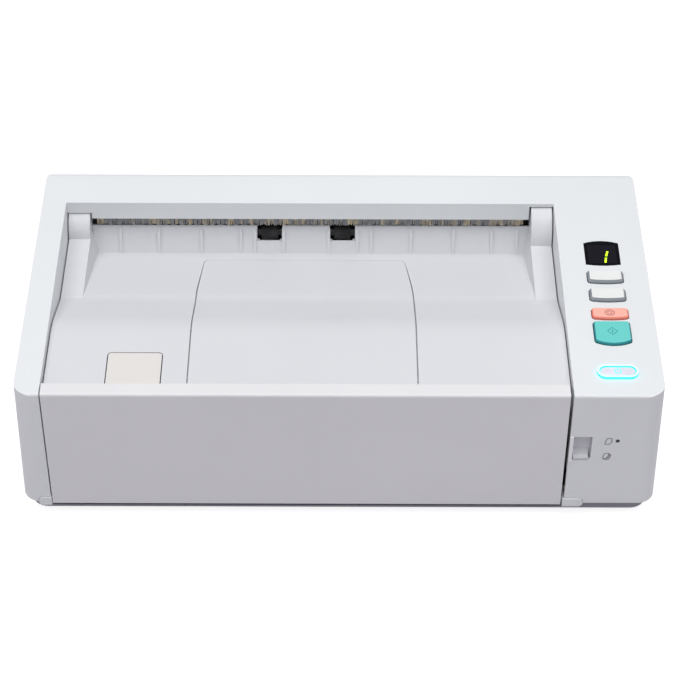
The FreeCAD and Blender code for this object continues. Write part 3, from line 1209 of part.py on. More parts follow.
def make_lever():
    y = front_y((SLOT_LOW + SLOT_HIGH) / 2)
    z0, z1 = SLOT_LOW + KNOB_GAP, SLOT_LOW + KNOB_GAP + KNOB_HEIGHT
    face = y - 0.3
    profile = Outline((y + 8, z0)).line((y + 8, z1), (face + KNOB_SCOOP, z1))
    profile.arc((face + 0.72 * KNOB_SCOOP, z0 + 0.5 * KNOB_HEIGHT), (face, z0 + KNOB_LIP)).line((face, z0))
    knob = profile.slab(SLOT_LEFT + KNOB_GAP, SLOT_RIGHT - KNOB_RIGHT_GAP)
    low, high = SLOT_LOW - 0.5 - LEVER_TRAVEL, SLOT_HIGH + 0.5
    slide = box(SLOT_LEFT + KNOB_GAP, SLOT_RIGHT + 2.5, y + 2.8, y + 4.4, low, high)
    return join(knob, slide)


def make_jamb():
    """Narrow plate on the front face along the left side of the lever's slot."""
    low, high = SLOT_LOW - JAMB_DROP, SLOT_HIGH
    y0, y1 = front_y(low), front_y(high)
    return polygon([(y0 - JAMB_PROUD, low), (y1 - JAMB_PROUD, high), (y1, high), (y0, low)],
                   SLOT_LEFT - JAMB_WIDTH, SLOT_LEFT)


def under_plane(rise):
    """Everything below a plane that lies rise above the sloping top."""
    y0, y1 = FRONT_Y - 20, BACK_Y + 20
    return polygon([(y0, 40), (y1, 40), (y1, top_z(y1) + rise), (y0, top_z(y0) + rise)], -FAR, FAR)


def make_key(name, rise, slope):
    if name == "power_key":
        cap = power_prism(-KEY_GAP, 50, 90)
        y0, y1 = POWER_KEY
    else:
        cap = console_prism(name, 0.0, 50, 90)
        y0, y1 = CONSOLE_SHAPES[name][2:4]
    flange = box(KEY_LEFT - KEY_FLANGE, KEY_RIGHT + KEY_FLANGE, y0 + 0.5, y1 - 0.5, 50, 90)
    inside = -WALL - KEY_TRAVEL - 0.4
    top = cap.common(under_plane(rise)).common(above_top(inside - 0.5))
    top = top.makeChamfer(slope, [e for e in top.Edges if e.BoundBox.ZMin > FRONT_HEIGHT and not upright(e)])
    base = flange.common(under_plane(-WALL - 0.2)).common(above_top(-WALL - 0.2 - KEY_FLANGE_THICK))
    x, y = key_centre(name)
    stem = post(x, y, CONSOLE_BOARD_Z + BOARD_THICK + SWITCH_HEIGHT + KEY_TRAVEL + 0.1, 77, 1.6)
    return join(top, base, stem)


def key_centre(name):
    if name == "power_key":
        return ((KEY_LEFT + KEY_RIGHT) / 2, (POWER_KEY[0] + POWER_KEY[1]) / 2)
    x0, x1, y0, y1 = CONSOLE_SHAPES[name][:4]
    return ((x0 + x1) / 2, (y0 + y1) / 2)


KEY_NAMES = ("upper_key", "lower_key", "stop_key", "start_key", "power_key")


def make_display():
    body = console_prism("display", 0.0, 60, 90).common(under_plane(0.0)).common(above_top(-WALL))
    flange = console_prism("display", 1.2, 60, 90).common(under_plane(-WALL)).common(above_top(-WALL - 1.2))
    return join(body, flange)


def make_power_ring():
    ring = power_prism(RING_WIDTH, 50, 90).cut(power_prism(0.0, 50, 90))
    return ring.common(under_plane(RING_PROUD)).common(above_top(-WALL))


def make_console_board():
    z = CONSOLE_BOARD_Z
    board = box(110.0, 134.6, -70.0, 27.0, z, z + BOARD_THICK)
    parts = [board]
    for name in KEY_NAMES:
        x, y = key_centre(name)
        s = SWITCH_SIZE / 2
        parts.append(box(x - s, x + s, y - s, y + s, z + BOARD_THICK - 0.1, z + BOARD_THICK + SWITCH_HEIGHT))
    parts.append(box(113.0, 134.0, 9.5, 22.5, z + BOARD_THICK - 0.1, z + BOARD_THICK + 4.5))
    return join(*parts)


def make_brush():
    y0, y1 = BRUSH_Y, BRUSH_Y + BRUSH_THICK
    x0, x1 = UNIT_LEFT + ARM_LEFT_WIDTH + 2, UNIT_RIGHT - ARM_RIGHT_WIDTH - 2
    strip = box(x0, x1, y0 - 0.25, y1, FASCIA_BOTTOM + 0.4, FASCIA_BOTTOM + 6)
    tufts = []
    x = x0 + 1.0
    while x < x1 - TUFT_WIDTH:
        tufts.append(box(x, x + TUFT_WIDTH, y0, y1, BRUSH_TIP, FASCIA_BOTTOM + 1))
        x += BRUSH_PITCH
    return join(strip, *tufts)


def make_main_board():
    z = PAN_TOP + 3.4
    board = box(111.6, 134.4, 53.4, 72.0, z, z + BOARD_THICK)
    parts = [board, box(114, 124, 56, 64, z + 1.5, z + 3.2), box(126, 133, 55, 60, z + 1.5, z + 8.0)]
    for x, y in ((114.0, 56.0), (132.0, 69.5), (114.0, 69.5)):
        parts.append(post(x, y, PAN_TOP, z + 0.1, 1.8))
    return join(*parts)


def make_motor_bracket():
    y, z = MOTOR_LINE
    x0 = GEAR_X + GEAR_WIDTH + 0.8
    plate = box(x0, x0 + 1.2, y - 19, y + 19, PAN_TOP, z + 12)
    foot = box(x0, x0 + 9.0, y + 6, y + 19, PAN_TOP, PAN_TOP + 1.2)
    plate = join(plate, foot)
    bearing = rod(x0 - 1, x0 + 3, REAR_LINE[0], REAR_LINE[1], SHAFT_R + SHAFT_FIT)
    return plate.cut([rod(x0 - 1, x0 + 3, y, z, 5.6), bearing])


def make_jack():
    z = CONNECTOR_Z
    y1 = inner_back(z + JACK_BODY / 2) - 0.05
    s = JACK_BODY / 2
    body = box(JACK_X - s, JACK_X + s, y1 - JACK_DEEP, y1, z - s, z + s)
    nose = pin_y(JACK_X, z, y1 - 1, y1 + WALL - 0.2, JACK_BORE_R + 1.0)
    body = join(body, nose).cut(pin_y(JACK_X, z, y1 - JACK_DEEP + 1.5, y1 + 5, JACK_BORE_R))
    return body.fuse(pin_y(JACK_X, z, y1 - JACK_DEEP + 1, y1 - 0.5, JACK_PIN_R)).removeSplitter()


def inner_back(z):
    return BACK_Y + (FRONT_HEIGHT - z) * DRAFT - WALL


def make_usb_shell():
    z = CONNECTOR_Z
    y1 = inner_back(z) + WALL - 0.6
    w, h = USB_WIDTH / 2, USB_HEIGHT / 2
    shell = box(USB_X - w, USB_X + w, y1 - USB_DEEP, y1, z - h, z + h)
    room_w = w - USB_SHELL
    return shell.cut(box(USB_X - room_w, USB_X + room_w, y1 - USB_DEEP + 1.2, y1 + 1, z - h + USB_SHELL,
                         z + h - USB_SHELL))


def make_usb_tongue():
    z = CONNECTOR_Z
    y1 = inner_back(z) + WALL - 0.6
    return box(USB_X - 2.8, USB_X + 2.8, y1 - USB_DEEP + 1.2, y1 - 2.0, z - 1.6, z + 1.6)


def make_tab(n):
    """Hinge cap that holds one end of the door."""
    x0, x1 = tab_spans()[n]
    y0 = front_y(TAB_BOTTOM) - TAB_PROUD
    body = tab_boxes(0.0)[n].common(box(x0, x1, y0, -70.4, 0, 30))
    bore0, bore1 = (x0 + 1.0, x1 + 1) if n == 0 else (x0 - 1, x1 - 1.0)
    return body.cut(rod(bore0, bore1, DOOR_HINGE_Y, DOOR_HINGE_Z, DOOR_PIN_R + SHAFT_FIT))


def hook_places():
    """Left faces of the two latch hooks."""
    return (UPPER_PLATE_LEFT + UPPER_PLATE + 0.9, UPPER_PLATE_RIGHT - 0.9 - HOOK_WIDTH)


def make_latch():
    """Rod across the upper unit with a hook near each end."""
    y, z = LATCH_Y, LATCH_Z
    left, right = UPPER_PLATE_LEFT + UPPER_PLATE + 0.4, UPPER_PLATE_RIGHT - 0.4
    parts = [rod(left - UPPER_PLATE - 0.2, right + UPPER_PLATE + 0.2, y, z, LATCH_R)]
    for x in hook_places():
        hook = polygon([(y - 2.4, z), (y + 2.4, z), (y + 1.8, z - LATCH_DROP + 2), (y + 0.6, z - LATCH_DROP),
                        (y - 1.6, z - LATCH_DROP)], x, x + HOOK_WIDTH)
        parts.append(hook)
    finger = polygon([(y - 1.6, z), (y + 1.6, z), (y - 6.0, 61.8), (y - 9.5, 61.8)],
                     OPEN_LEFT + 9, OPEN_LEFT + 15)
    parts.append(finger)
    return join(*parts)


def lower_shaft(line, last, rows, hub_r, pulleys=(), wheel=None):
    """Driven roller: shaft and hubs with its pulleys and gear moulded on."""
    body = roller(line, LOWER_PLATE_LEFT - 0.6, last, rows, hub_r)
    parts = [pulley(x, line[0], line[1]) for x in pulleys]
    if wheel:
        parts.append(wheel)
    return join(body, *parts) if parts else body


def mating(tooth, teeth, direction, other_teeth):
    """Angle of a tooth on a second gear that lies in mesh with the first, seen in a direction."""
    share = ((direction - tooth) * teeth / 360.0) % 1.0
    return direction + 180.0 + (share + 0.5) * 360.0 / other_teeth


def wheel_on(x0, width, line, teeth, tooth):
    """Gear on a shaft line with one tooth at the given angle."""
    return turned(gear(x0, width, line[0], line[1], teeth, 0.4), line[0], line[1], tooth)


IDLER_TOOTH = mating(EJECT_IDLER_ANGLE, EJECT_TEETH, EJECT_IDLER_ANGLE, EJECT_IDLER_TEETH)
LAY_TOOTH = mating(IDLER_TOOTH, EJECT_IDLER_TEETH, LAY_ANGLE, LAY_TEETH)
PINION_TOOTH = mating(PINION_ANGLE, MAIN_TEETH, PINION_ANGLE, PINION_TEETH)


def make_lay_shaft():
    y, z = LAY_LINE
    wheel = wheel_on(EJECT_GEAR_X, EJECT_GEAR_WIDTH, LAY_LINE, LAY_TEETH, LAY_TOOTH)
    shaft = rod(TURN_RIGHT + 0.1, EJECT_BELT_X + BELT_WIDTH + 1.5, y, z, LAY_SHAFT_R)
    return join(shaft, wheel, pulley(EJECT_BELT_X, y, z))


def make_eject_roller():
    x0, x1 = TURN_LEFT - CHEEK + 0.05, TURN_RIGHT + CHEEK - 0.05
    body = roller(EJECT_LINE, TURN_LEFT + 0.3, TURN_RIGHT - 0.3, EJECT_TYRES, 3.3)
    return join(body, rod(x0, x1, *EJECT_LINE, EJECT_JOURNAL_R))


def make_eject_drive():
    wheels = [rod(a, b, at[0], at[1], r) for a, b, at, r in DRIVE_TYRES]
    axle = rod(TURN_LEFT - CHEEK + 0.05, EJECT_GEAR_X + 1, *DRIVE_LINE, EJECT_JOURNAL_R)
    gear_end = wheel_on(EJECT_GEAR_X, EJECT_GEAR_WIDTH, DRIVE_LINE, EJECT_TEETH, EJECT_IDLER_ANGLE)
    return join(axle, gear_end, *wheels)


def make_eject_idler_gear():
    y, z = EJECT_IDLER_LINE
    wheel = wheel_on(EJECT_GEAR_X, EJECT_GEAR_WIDTH, EJECT_IDLER_LINE, EJECT_IDLER_TEETH, IDLER_TOOTH)
    return wheel.cut(rod(80, 100, y, z, LAY_SHAFT_R + SHAFT_FIT))


def make_rear_transport():
    wheel = wheel_on(GEAR_X, GEAR_WIDTH, REAR_LINE, MAIN_TEETH, PINION_ANGLE)
    end = GEAR_X + GEAR_WIDTH + 1.6
    return lower_shaft(REAR_LINE, end, LOWER_TYRES, SHAFT_R, (REAR_BELT_X, EJECT_BELT_X), wheel)


def make_pinion():
    y, z = MOTOR_LINE
    wheel = wheel_on(GEAR_X, GEAR_WIDTH, MOTOR_LINE, PINION_TEETH, PINION_TOOTH)
    return join(wheel, rod(GEAR_X - 0.6, GEAR_X + GEAR_WIDTH + 4.0, y, z, MOTOR_SHAFT_R))


def make_motor_body():
    y, z = MOTOR_LINE
    x0 = GEAR_X + GEAR_WIDTH + 2.0
    body = rod(x0, x0 + MOTOR_LENGTH, y, z, MOTOR_R)
    ring = rod(x0 - 1.0, x0 + 1, y, z, 5.5)
    return join(body, ring).cut(rod(x0 - 2, x0 + 3.0, y, z, MOTOR_SHAFT_R + SHAFT_FIT))


PARTS = {
    "base_pan": make_base_pan,
    "rubber_feet": make_rubber_feet,
    "cover_screws": make_cover_screws,
    "outer_cover": outer_cover,
    "hinge_brackets": lambda: Part.makeCompound([make_hinge_bracket(-1), make_hinge_bracket(1)]),
    "hinge_pins": make_hinge_pins,
    "lower_paper_guide": make_lower_guide,
    "rear_turn_guide": make_rear_turn_guide,
    "lower_image_sensor": lambda: make_sensor(-1),
    "lower_sensor_glass": lambda: make_sensor_glass(-1),
    "door_hinge_caps": lambda: Part.makeCompound([make_tab(0), make_tab(1)]),
    "lever_jamb": make_jamb,
    "display_window": make_display,
    "power_light_ring": make_power_ring,
    "console_board": make_console_board,
    "static_brush": make_brush,
    "main_board": make_main_board,
    "motor_bracket": make_motor_bracket,
    "motor_body": make_motor_body,
    "power_jack": make_jack,
    "usb_shell": make_usb_shell,
    "usb_tongue": make_usb_tongue,
    "feed_belt": lambda: belt(FEED_BELT_X, FEED_LINE, FRONT_LINE),
    "rear_belt": lambda: belt(REAR_BELT_X, FRONT_LINE, REAR_LINE),
    "eject_belt": lambda: belt(EJECT_BELT_X, REAR_LINE, LAY_LINE),
    "eject_tray": make_tray,
    "upper_paper_guide": make_upper_guide,
    "upper_image_sensor": lambda: make_sensor(1),
    "upper_sensor_glass": lambda: make_sensor_glass(1),
    "tray_extension_panel": make_panel,
    "open_key": make_open_key,
    "latch_rod": make_latch,
    "door_panel": make_door_panel,
    "door_liner": make_door_liner,
    "paper_guide_left": lambda: make_paper_guide(-1),
    "paper_guide_right": lambda: make_paper_guide(1),
    "guide_pinion": make_guide_pinion,
    "feed_extension_plate": make_plate,
    "feed_lever": make_lever,
    "feed_roller": lambda: lower_shaft(FEED_LINE, FEED_BELT_X + BELT_WIDTH + 1.0, LOWER_TYRES, 5.0,
                                       (FEED_BELT_X,)),
    "feed_tyres": lambda: roller_tyres(FEED_LINE, LOWER_TYRES, 5.0),
    "front_transport_roller": lambda: lower_shaft(FRONT_LINE, REAR_BELT_X + BELT_WIDTH + 1.0,
                                                  LOWER_TYRES, SHAFT_R,
                                                  (FEED_BELT_X, REAR_BELT_X)),
    "front_transport_tyres": lambda: roller_tyres(FRONT_LINE, LOWER_TYRES, SHAFT_R),
    "rear_transport_roller": make_rear_transport,
    "rear_transport_tyres": lambda: roller_tyres(REAR_LINE, LOWER_TYRES, SHAFT_R),
    "retard_roller": lambda: roller(RETARD_LINE, PAPER_X - RETARD_HALF, PAPER_X + RETARD_HALF,
                                    UPPER_TYRES, 5.6),
    "retard_tyres": lambda: roller_tyres(RETARD_LINE, UPPER_TYRES, 5.6),
    "front_idler_roller": lambda: idler(FRONT_IDLER_LINE),
    "rear_idler_roller": lambda: idler(REAR_IDLER_LINE),
    "eject_roller": make_eject_roller,
    "eject_tyres": lambda: roller_tyres(EJECT_LINE, EJECT_TYRES, 3.3),
    "eject_drive_roller": make_eject_drive,
    "eject_idler_gear": make_eject_idler_gear,
    "lay_shaft": make_lay_shaft,
    "motor_pinion": make_pinion,
}


def idler(line):
    """Idler wheels moulded on a thin axle."""
    x0, x1 = UPPER_PLATE_LEFT + 0.1, UPPER_PLATE_RIGHT + UPPER_PLATE - 0.1
    wheels = [rod(a, b, line[0], line[1], r) for a, b, at, r in UPPER_TYRES if at == line]
    return join(rod(x0, x1, line[0], line[1], IDLER_AXLE_R), *wheels)


KEY_CAPS = {
    "upper_key": (SMALL_KEY_PROUD, SMALL_KEY_SLOPE),
    "lower_key": (SMALL_KEY_PROUD, SMALL_KEY_SLOPE),
    "stop_key": (BIG_KEY_PROUD, BIG_KEY_SLOPE),
    "start_key": (BIG_KEY_PROUD, BIG_KEY_SLOPE),
    "power_key": (POWER_RISE, POWER_EDGE),
}
for key, cap in KEY_CAPS.items():
    PARTS[key] = lambda key=key, cap=cap: make_key(key, *cap)

os.makedirs("parts", exist_ok=True)
for name, make in PARTS.items():
    make().exportStep("parts/" + name + ".step")
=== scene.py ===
import math
import bpy
from mathutils import Matrix, Vector


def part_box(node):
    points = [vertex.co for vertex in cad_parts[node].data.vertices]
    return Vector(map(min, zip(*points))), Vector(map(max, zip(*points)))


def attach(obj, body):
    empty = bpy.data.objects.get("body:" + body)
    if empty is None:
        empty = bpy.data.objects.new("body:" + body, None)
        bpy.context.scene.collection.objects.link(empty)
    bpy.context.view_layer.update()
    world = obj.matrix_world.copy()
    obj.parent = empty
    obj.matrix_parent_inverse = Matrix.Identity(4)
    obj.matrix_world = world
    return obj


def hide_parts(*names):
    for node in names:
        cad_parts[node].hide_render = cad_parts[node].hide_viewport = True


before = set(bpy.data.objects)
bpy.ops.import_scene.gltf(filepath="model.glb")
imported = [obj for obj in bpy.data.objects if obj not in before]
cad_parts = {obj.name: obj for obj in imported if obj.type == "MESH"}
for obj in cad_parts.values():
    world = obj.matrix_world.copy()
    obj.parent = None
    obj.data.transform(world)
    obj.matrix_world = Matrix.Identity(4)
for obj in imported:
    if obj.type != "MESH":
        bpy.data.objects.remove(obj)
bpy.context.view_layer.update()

MM = 0.001


# Materials

# Fineness of the noise patterns, in cycles per metre
DRIFT_SCALE = 9.0
MARKS_SCALE = 45.0
GRAIN_SCALE = 1400.0
GLOSSY_GRAIN_SCALE = 500.0
DRAWN_SCALE = 60.0
DUST_SCALE = 160.0
RUBBER_GRAIN_SCALE = 2200.0
SMEAR_SCALE = 60.0
TRACK_SCALE = 240.0
WEAR_SCALE = 90.0
TUFT_SCALE = 420.0
FIBRE_GRAIN_SCALE = 1500.0
LIGHT_SCALE = 130.0
FLOOR_SCALE = 3.0
FLOOR_GRAIN_SCALE = 900.0

# Depth of the surface relief, in metres
GRAIN_DEPTH = 0.00004
KEY_GRAIN_DEPTH = 0.00002
WINDOW_GRAIN_DEPTH = 0.000004
DRAWN_DEPTH = 0.00003
RUBBER_DEPTH = 0.00006
SMEAR_DEPTH = 0.00002
TRACK_DEPTH = 0.00004
FIBRE_DEPTH = 0.00003
LIGHT_DEPTH = 0.00003
FLOOR_DEPTH = 0.00002

# Part of the noise output that is stretched over a blend: the values outside are rare
LOW, HIGH = 0.3, 0.7
CORE_LOW, CORE_HIGH = 0.35, 0.65


def new_material(name):
    mat = bpy.data.materials.new(name)
    mat.use_nodes = True
    tree = mat.node_tree
    shader = tree.nodes["Principled BSDF"]
    return mat, tree, shader


def coords(tree, stretch=(1.0, 1.0, 1.0)):
    """Object coordinates in metres, times a factor on each axis."""
    source = tree.nodes.new("ShaderNodeTexCoord")
    mapping = tree.nodes.new("ShaderNodeMapping")
    mapping.inputs["Scale"].default_value = stretch
    tree.links.new(source.outputs["Object"], mapping.inputs["Vector"])
    return mapping.outputs["Vector"]


def noise(tree, vector, scale, detail=3.0, rough=0.55):
    node = tree.nodes.new("ShaderNodeTexNoise")
    node.inputs["Scale"].default_value = scale
    node.inputs["Detail"].default_value = detail
    node.inputs["Roughness"].default_value = rough
    tree.links.new(vector, node.inputs["Vector"])
    return node.outputs["Fac"]


def ramp(tree, value, low, high, a, b):
    """Turn the span from low to high into the span from a to b."""
    node = tree.nodes.new("ShaderNodeMapRange")
    node.inputs["From Min"].default_value = low
    node.inputs["From Max"].default_value = high
    node.inputs["To Min"].default_value = a
    node.inputs["To Max"].default_value = b
    tree.links.new(value, node.inputs["Value"])
    return node.outputs["Result"]


def mix_colour(tree, factor, one, two):
    node = tree.nodes.new("ShaderNodeMix")
    node.data_type = "RGBA"
    node.inputs[6].default_value = (*one, 1.0)
    node.inputs[7].default_value = (*two, 1.0)
    tree.links.new(factor, node.inputs[0])
    return node.outputs[2]


def combine(tree, operation, one, two):
    """Combine two sockets, or a socket and a number, with a mathematical operation."""
    node = tree.nodes.new("ShaderNodeMath")
    node.operation = operation
    for place, value in enumerate((one, two)):
        if isinstance(value, float):
            node.inputs[place].default_value = value
        else:
            tree.links.new(value, node.inputs[place])
    return node.outputs[0]


def bump(tree, height, strength, distance):
    node = tree.nodes.new("ShaderNodeBump")
    node.inputs["Strength"].default_value = strength
    node.inputs["Distance"].default_value = distance
    tree.links.new(height, node.inputs["Height"])
    return node.outputs["Normal"]


def by_slope(tree, near, far, start, end):
    """Blend from a colour socket to a fixed colour as a face turns between two upright shares."""
    geometry = tree.nodes.new("ShaderNodeNewGeometry")
    split = tree.nodes.new("ShaderNodeSeparateXYZ")
    tree.links.new(geometry.outputs["Normal"], split.inputs["Vector"])
    node = tree.nodes.new("ShaderNodeMix")
    node.data_type = "RGBA"
    low, high = min(start, end), max(start, end)
    first, last = (0.0, 1.0) if start < end else (1.0, 0.0)
    tree.links.new(ramp(tree, split.outputs["Z"], low, high, first, last), node.inputs[0])
    tree.links.new(near, node.inputs[6])
    node.inputs[7].default_value = (*far, 1.0)
    return node.outputs[2]


def plastic(name, colour, rough=0.5, grain=GRAIN_SCALE, depth=GRAIN_DEPTH, spread=0.03, gloss_spread=0.08,
            shine=0.42):
    """Moulded plastic: spark-eroded grain, faint colour drift and handling marks."""
    mat, tree, shader = new_material(name)
    vector = coords(tree)
    dark = [c * (1.0 - spread) for c in colour]
    drift = noise(tree, vector, DRIFT_SCALE, 4.0)
    face = mix_colour(tree, ramp(tree, drift, CORE_LOW, CORE_HIGH, 0.0, 1.0), dark, colour)
    tree.links.new(face, shader.inputs["Base Color"])
    marks = noise(tree, vector, MARKS_SCALE, 6.0, 0.65)
    gloss = ramp(tree, marks, LOW, HIGH, rough - gloss_spread, rough + gloss_spread)
    tree.links.new(gloss, shader.inputs["Roughness"])
    fine = noise(tree, vector, grain, 2.0, 0.5)
    tree.links.new(bump(tree, fine, 0.35, depth), shader.inputs["Normal"])
    shader.inputs["Specular IOR Level"].default_value = shine
    return mat


def window(name, colour, rough):
    """Smooth dark plastic of a display window, with little shine."""
    return plastic(name, colour, rough, GLOSSY_GRAIN_SCALE, WINDOW_GRAIN_DEPTH, 0.2, 0.04, shine=0.12)


def slope_shaded_key(name, top, skirt_shade, rough=0.36):
    """Key cap plastic with painted shade: its sloping skirt is coloured darker than its top, the steeper
    faces taking the darker colour.
    """
    mat = plastic(name, top, rough, depth=KEY_GRAIN_DEPTH)
    tree = mat.node_tree
    shader = tree.nodes["Principled BSDF"]
    face = shader.inputs["Base Color"].links[0].from_socket
    # painted shade: faces that tilt away from upright blend to the darker skirt colour
    tree.links.new(by_slope(tree, face, skirt_shade, 0.95, 0.84), shader.inputs["Base Color"])
    return mat


def metal(name, colour, rough=0.3):
    """Rolled or turned metal with fine lines drawn along X."""
    mat, tree, shader = new_material(name)
    vector = coords(tree, (1.0, 30.0, 30.0))
    lines = noise(tree, vector, DRAWN_SCALE, 6.0, 0.7)
    dark = [c * 0.85 for c in colour]
    face = mix_colour(tree, ramp(tree, lines, LOW, HIGH, 0.0, 1.0), dark, colour)
    tree.links.new(face, shader.inputs["Base Color"])
    tree.links.new(ramp(tree, lines, LOW, HIGH, rough - 0.08, rough + 0.12), shader.inputs["Roughness"])
    tree.links.new(bump(tree, lines, 0.2, DRAWN_DEPTH), shader.inputs["Normal"])
    shader.inputs["Metallic"].default_value = 1.0
    return mat


def rubber(name, colour):
    """Matt rubber with ground surface and dust."""
    mat, tree, shader = new_material(name)
    vector = coords(tree)
    dust = noise(tree, vector, DUST_SCALE, 5.0, 0.6)
    dusty = [c * 1.9 + 0.02 for c in colour]
    face = mix_colour(tree, ramp(tree, dust, 0.45, 0.75, 0.0, 1.0), colour, dusty)
    tree.links.new(face, shader.inputs["Base Color"])
    tree.links.new(ramp(tree, dust, LOW, HIGH, 0.7, 0.9), shader.inputs["Roughness"])
    fine = noise(tree, vector, RUBBER_GRAIN_SCALE, 2.0)
    tree.links.new(bump(tree, fine, 0.5, RUBBER_DEPTH), shader.inputs["Normal"])
    shader.inputs["Specular IOR Level"].default_value = 0.25
    return mat


def glass(name, colour):
    """Clear glass with faint smears."""
    mat, tree, shader = new_material(name)
    vector = coords(tree)
    smear = noise(tree, vector, SMEAR_SCALE, 5.0)
    face = mix_colour(tree, smear, colour, [c * 0.8 for c in colour])
    tree.links.new(face, shader.inputs["Base Color"])
    tree.links.new(ramp(tree, smear, LOW, HIGH, 0.02, 0.12), shader.inputs["Roughness"])
    tree.links.new(bump(tree, smear, 0.05, SMEAR_DEPTH), shader.inputs["Normal"])
    shader.inputs["Transmission Weight"].default_value = 0.8
    shader.inputs["IOR"].default_value = 1.5
    return mat


def board(name):
    """Circuit board lacquer with faint copper tracks under it."""
    mat, tree, shader = new_material(name)
    vector = coords(tree)
    brick = tree.nodes.new("ShaderNodeTexBrick")
    brick.inputs["Scale"].default_value = TRACK_SCALE
    brick.inputs["Mortar Size"].default_value = 0.06
    brick.inputs["Color1"].default_value = (0.012, 0.10, 0.045, 1)
    brick.inputs["Color2"].default_value = (0.015, 0.13, 0.055, 1)
    brick.inputs["Mortar"].default_value = (0.05, 0.22, 0.10, 1)
    tree.links.new(vector, brick.inputs["Vector"])
    tree.links.new(brick.outputs["Color"], shader.inputs["Base Color"])
    wear = noise(tree, vector, WEAR_SCALE, 4.0)
    tree.links.new(ramp(tree, wear, LOW, HIGH, 0.25, 0.45), shader.inputs["Roughness"])
    tree.links.new(bump(tree, brick.outputs["Fac"], 0.3, TRACK_DEPTH), shader.inputs["Normal"])
    return mat


def fibre(name, dark, tan):
    """Bristles in grey and tan, changing from tuft to tuft along X."""
    mat, tree, shader = new_material(name)
    along = noise(tree, coords(tree, (1.0, 0.02, 0.02)), TUFT_SCALE, 3.0, 0.6)
    face = mix_colour(tree, ramp(tree, along, 0.5, 0.62, 0.0, 1.0), dark, tan)
    tree.links.new(face, shader.inputs["Base Color"])
    tree.links.new(ramp(tree, along, LOW, HIGH, 0.5, 0.7), shader.inputs["Roughness"])
    fine = noise(tree, coords(tree), FIBRE_GRAIN_SCALE, 2.0)
    tree.links.new(bump(tree, fine, 0.3, FIBRE_DEPTH), shader.inputs["Normal"])
    return mat


def glow(name, colour, strength, crown=None):
    """Light guide: coloured translucent plastic that glows unevenly, paler on its crown."""
    mat, tree, shader = new_material(name)
    vector = coords(tree)
    drift = noise(tree, vector, LIGHT_SCALE, 3.0)
    dark = [c * 0.85 for c in colour]
    face = mix_colour(tree, ramp(tree, drift, CORE_LOW, CORE_HIGH, 0.0, 1.0), dark, colour)
    if crown:
        face = by_slope(tree, face, crown, 0.3, 0.8)
    tree.links.new(face, shader.inputs["Base Color"])
    tree.links.new(face, shader.inputs["Emission Color"])
    shader.inputs["Emission Strength"].default_value = strength
    tree.links.new(ramp(tree, drift, LOW, HIGH, 0.2, 0.35), shader.inputs["Roughness"])
    tree.links.new(bump(tree, drift, 0.1, LIGHT_DEPTH), shader.inputs["Normal"])
    return mat


MATS = {
    "cover": plastic("cover plastic", (0.79, 0.805, 0.825), 0.46),
    "tray": plastic("tray plastic", (0.70, 0.705, 0.735), 0.50),
    "panel": plastic("panel plastic", (0.70, 0.705, 0.735), 0.48),
    "door": plastic("door plastic", (0.775, 0.77, 0.79), 0.44),
    "liner": plastic("liner plastic", (0.12, 0.12, 0.13), 0.55),
    "plate": plastic("extension plate plastic", (0.16, 0.16, 0.17), 0.5),
    "pan": plastic("base plastic", (0.30, 0.295, 0.34), 0.5),
    "guide": plastic("paper path plastic", (0.02, 0.02, 0.022), 0.42),
    "jamb": plastic("jamb plastic", (0.90, 0.90, 0.91), 0.42),
    "lever": plastic("lever plastic", (0.64, 0.64, 0.68), 0.4),
    # The second colour of each key below is painted shade on its sloping skirt
    "white key": slope_shaded_key("white key plastic", (0.83, 0.84, 0.83), (0.25, 0.275, 0.305)),
    "open key": plastic("open key plastic", (0.76, 0.73, 0.71), 0.4),
    "teal key": slope_shaded_key("start key plastic", (0.15, 0.64, 0.60), (0.02, 0.25, 0.28)),
    "salmon key": slope_shaded_key("stop key plastic", (0.98, 0.48, 0.39), (0.92, 0.24, 0.18)),
    "power key": glow("power key plastic", (0.78, 0.76, 0.86), 0.12),
    "display": window("display window", (0.004, 0.004, 0.006), 0.16),
    "display field": window("display field", (0.011, 0.010, 0.016), 0.3),
    "ring": glow("power light ring", (0.05, 0.90, 0.98), 0.60, (0.55, 0.90, 0.98)),
    "roller": plastic("roller plastic", (0.025, 0.025, 0.027), 0.35),
    "tyre": rubber("tyre rubber", (0.018, 0.018, 0.019)),
    "belt": rubber("belt rubber", (0.015, 0.015, 0.015)),
    "feet": rubber("feet rubber", (0.05, 0.05, 0.055)),
    "gear": plastic("gear plastic", (0.62, 0.60, 0.53), 0.42),
    "steel": metal("steel", (0.52, 0.52, 0.54)),
    "screw": metal("screw steel", (0.35, 0.35, 0.37), 0.35),
    "sensor": plastic("sensor housing", (0.03, 0.03, 0.033), 0.5),
    "glass": glass("sensor glass", (0.75, 0.88, 0.86)),
    "board": board("circuit board"),
    "fibre": fibre("brush fibre", (0.30, 0.30, 0.31), (0.66, 0.55, 0.38)),
    "black": plastic("connector plastic", (0.02, 0.02, 0.022), 0.45),
    "icon": plastic("icon print", (0.03, 0.03, 0.04), 0.5),
    "faint icon": plastic("grey icon print", (0.22, 0.22, 0.24), 0.5),
    "red icon": plastic("stop icon print", (0.45, 0.13, 0.14), 0.5),
    "green icon": plastic("start icon print", (0.03, 0.27, 0.27), 0.5),
    "lit digit": glow("lit digit", (0.55, 0.98, 0.02), 1.1),
    "lit mark": glow("lit power mark", (0.06, 0.92, 0.98), 0.7),
}

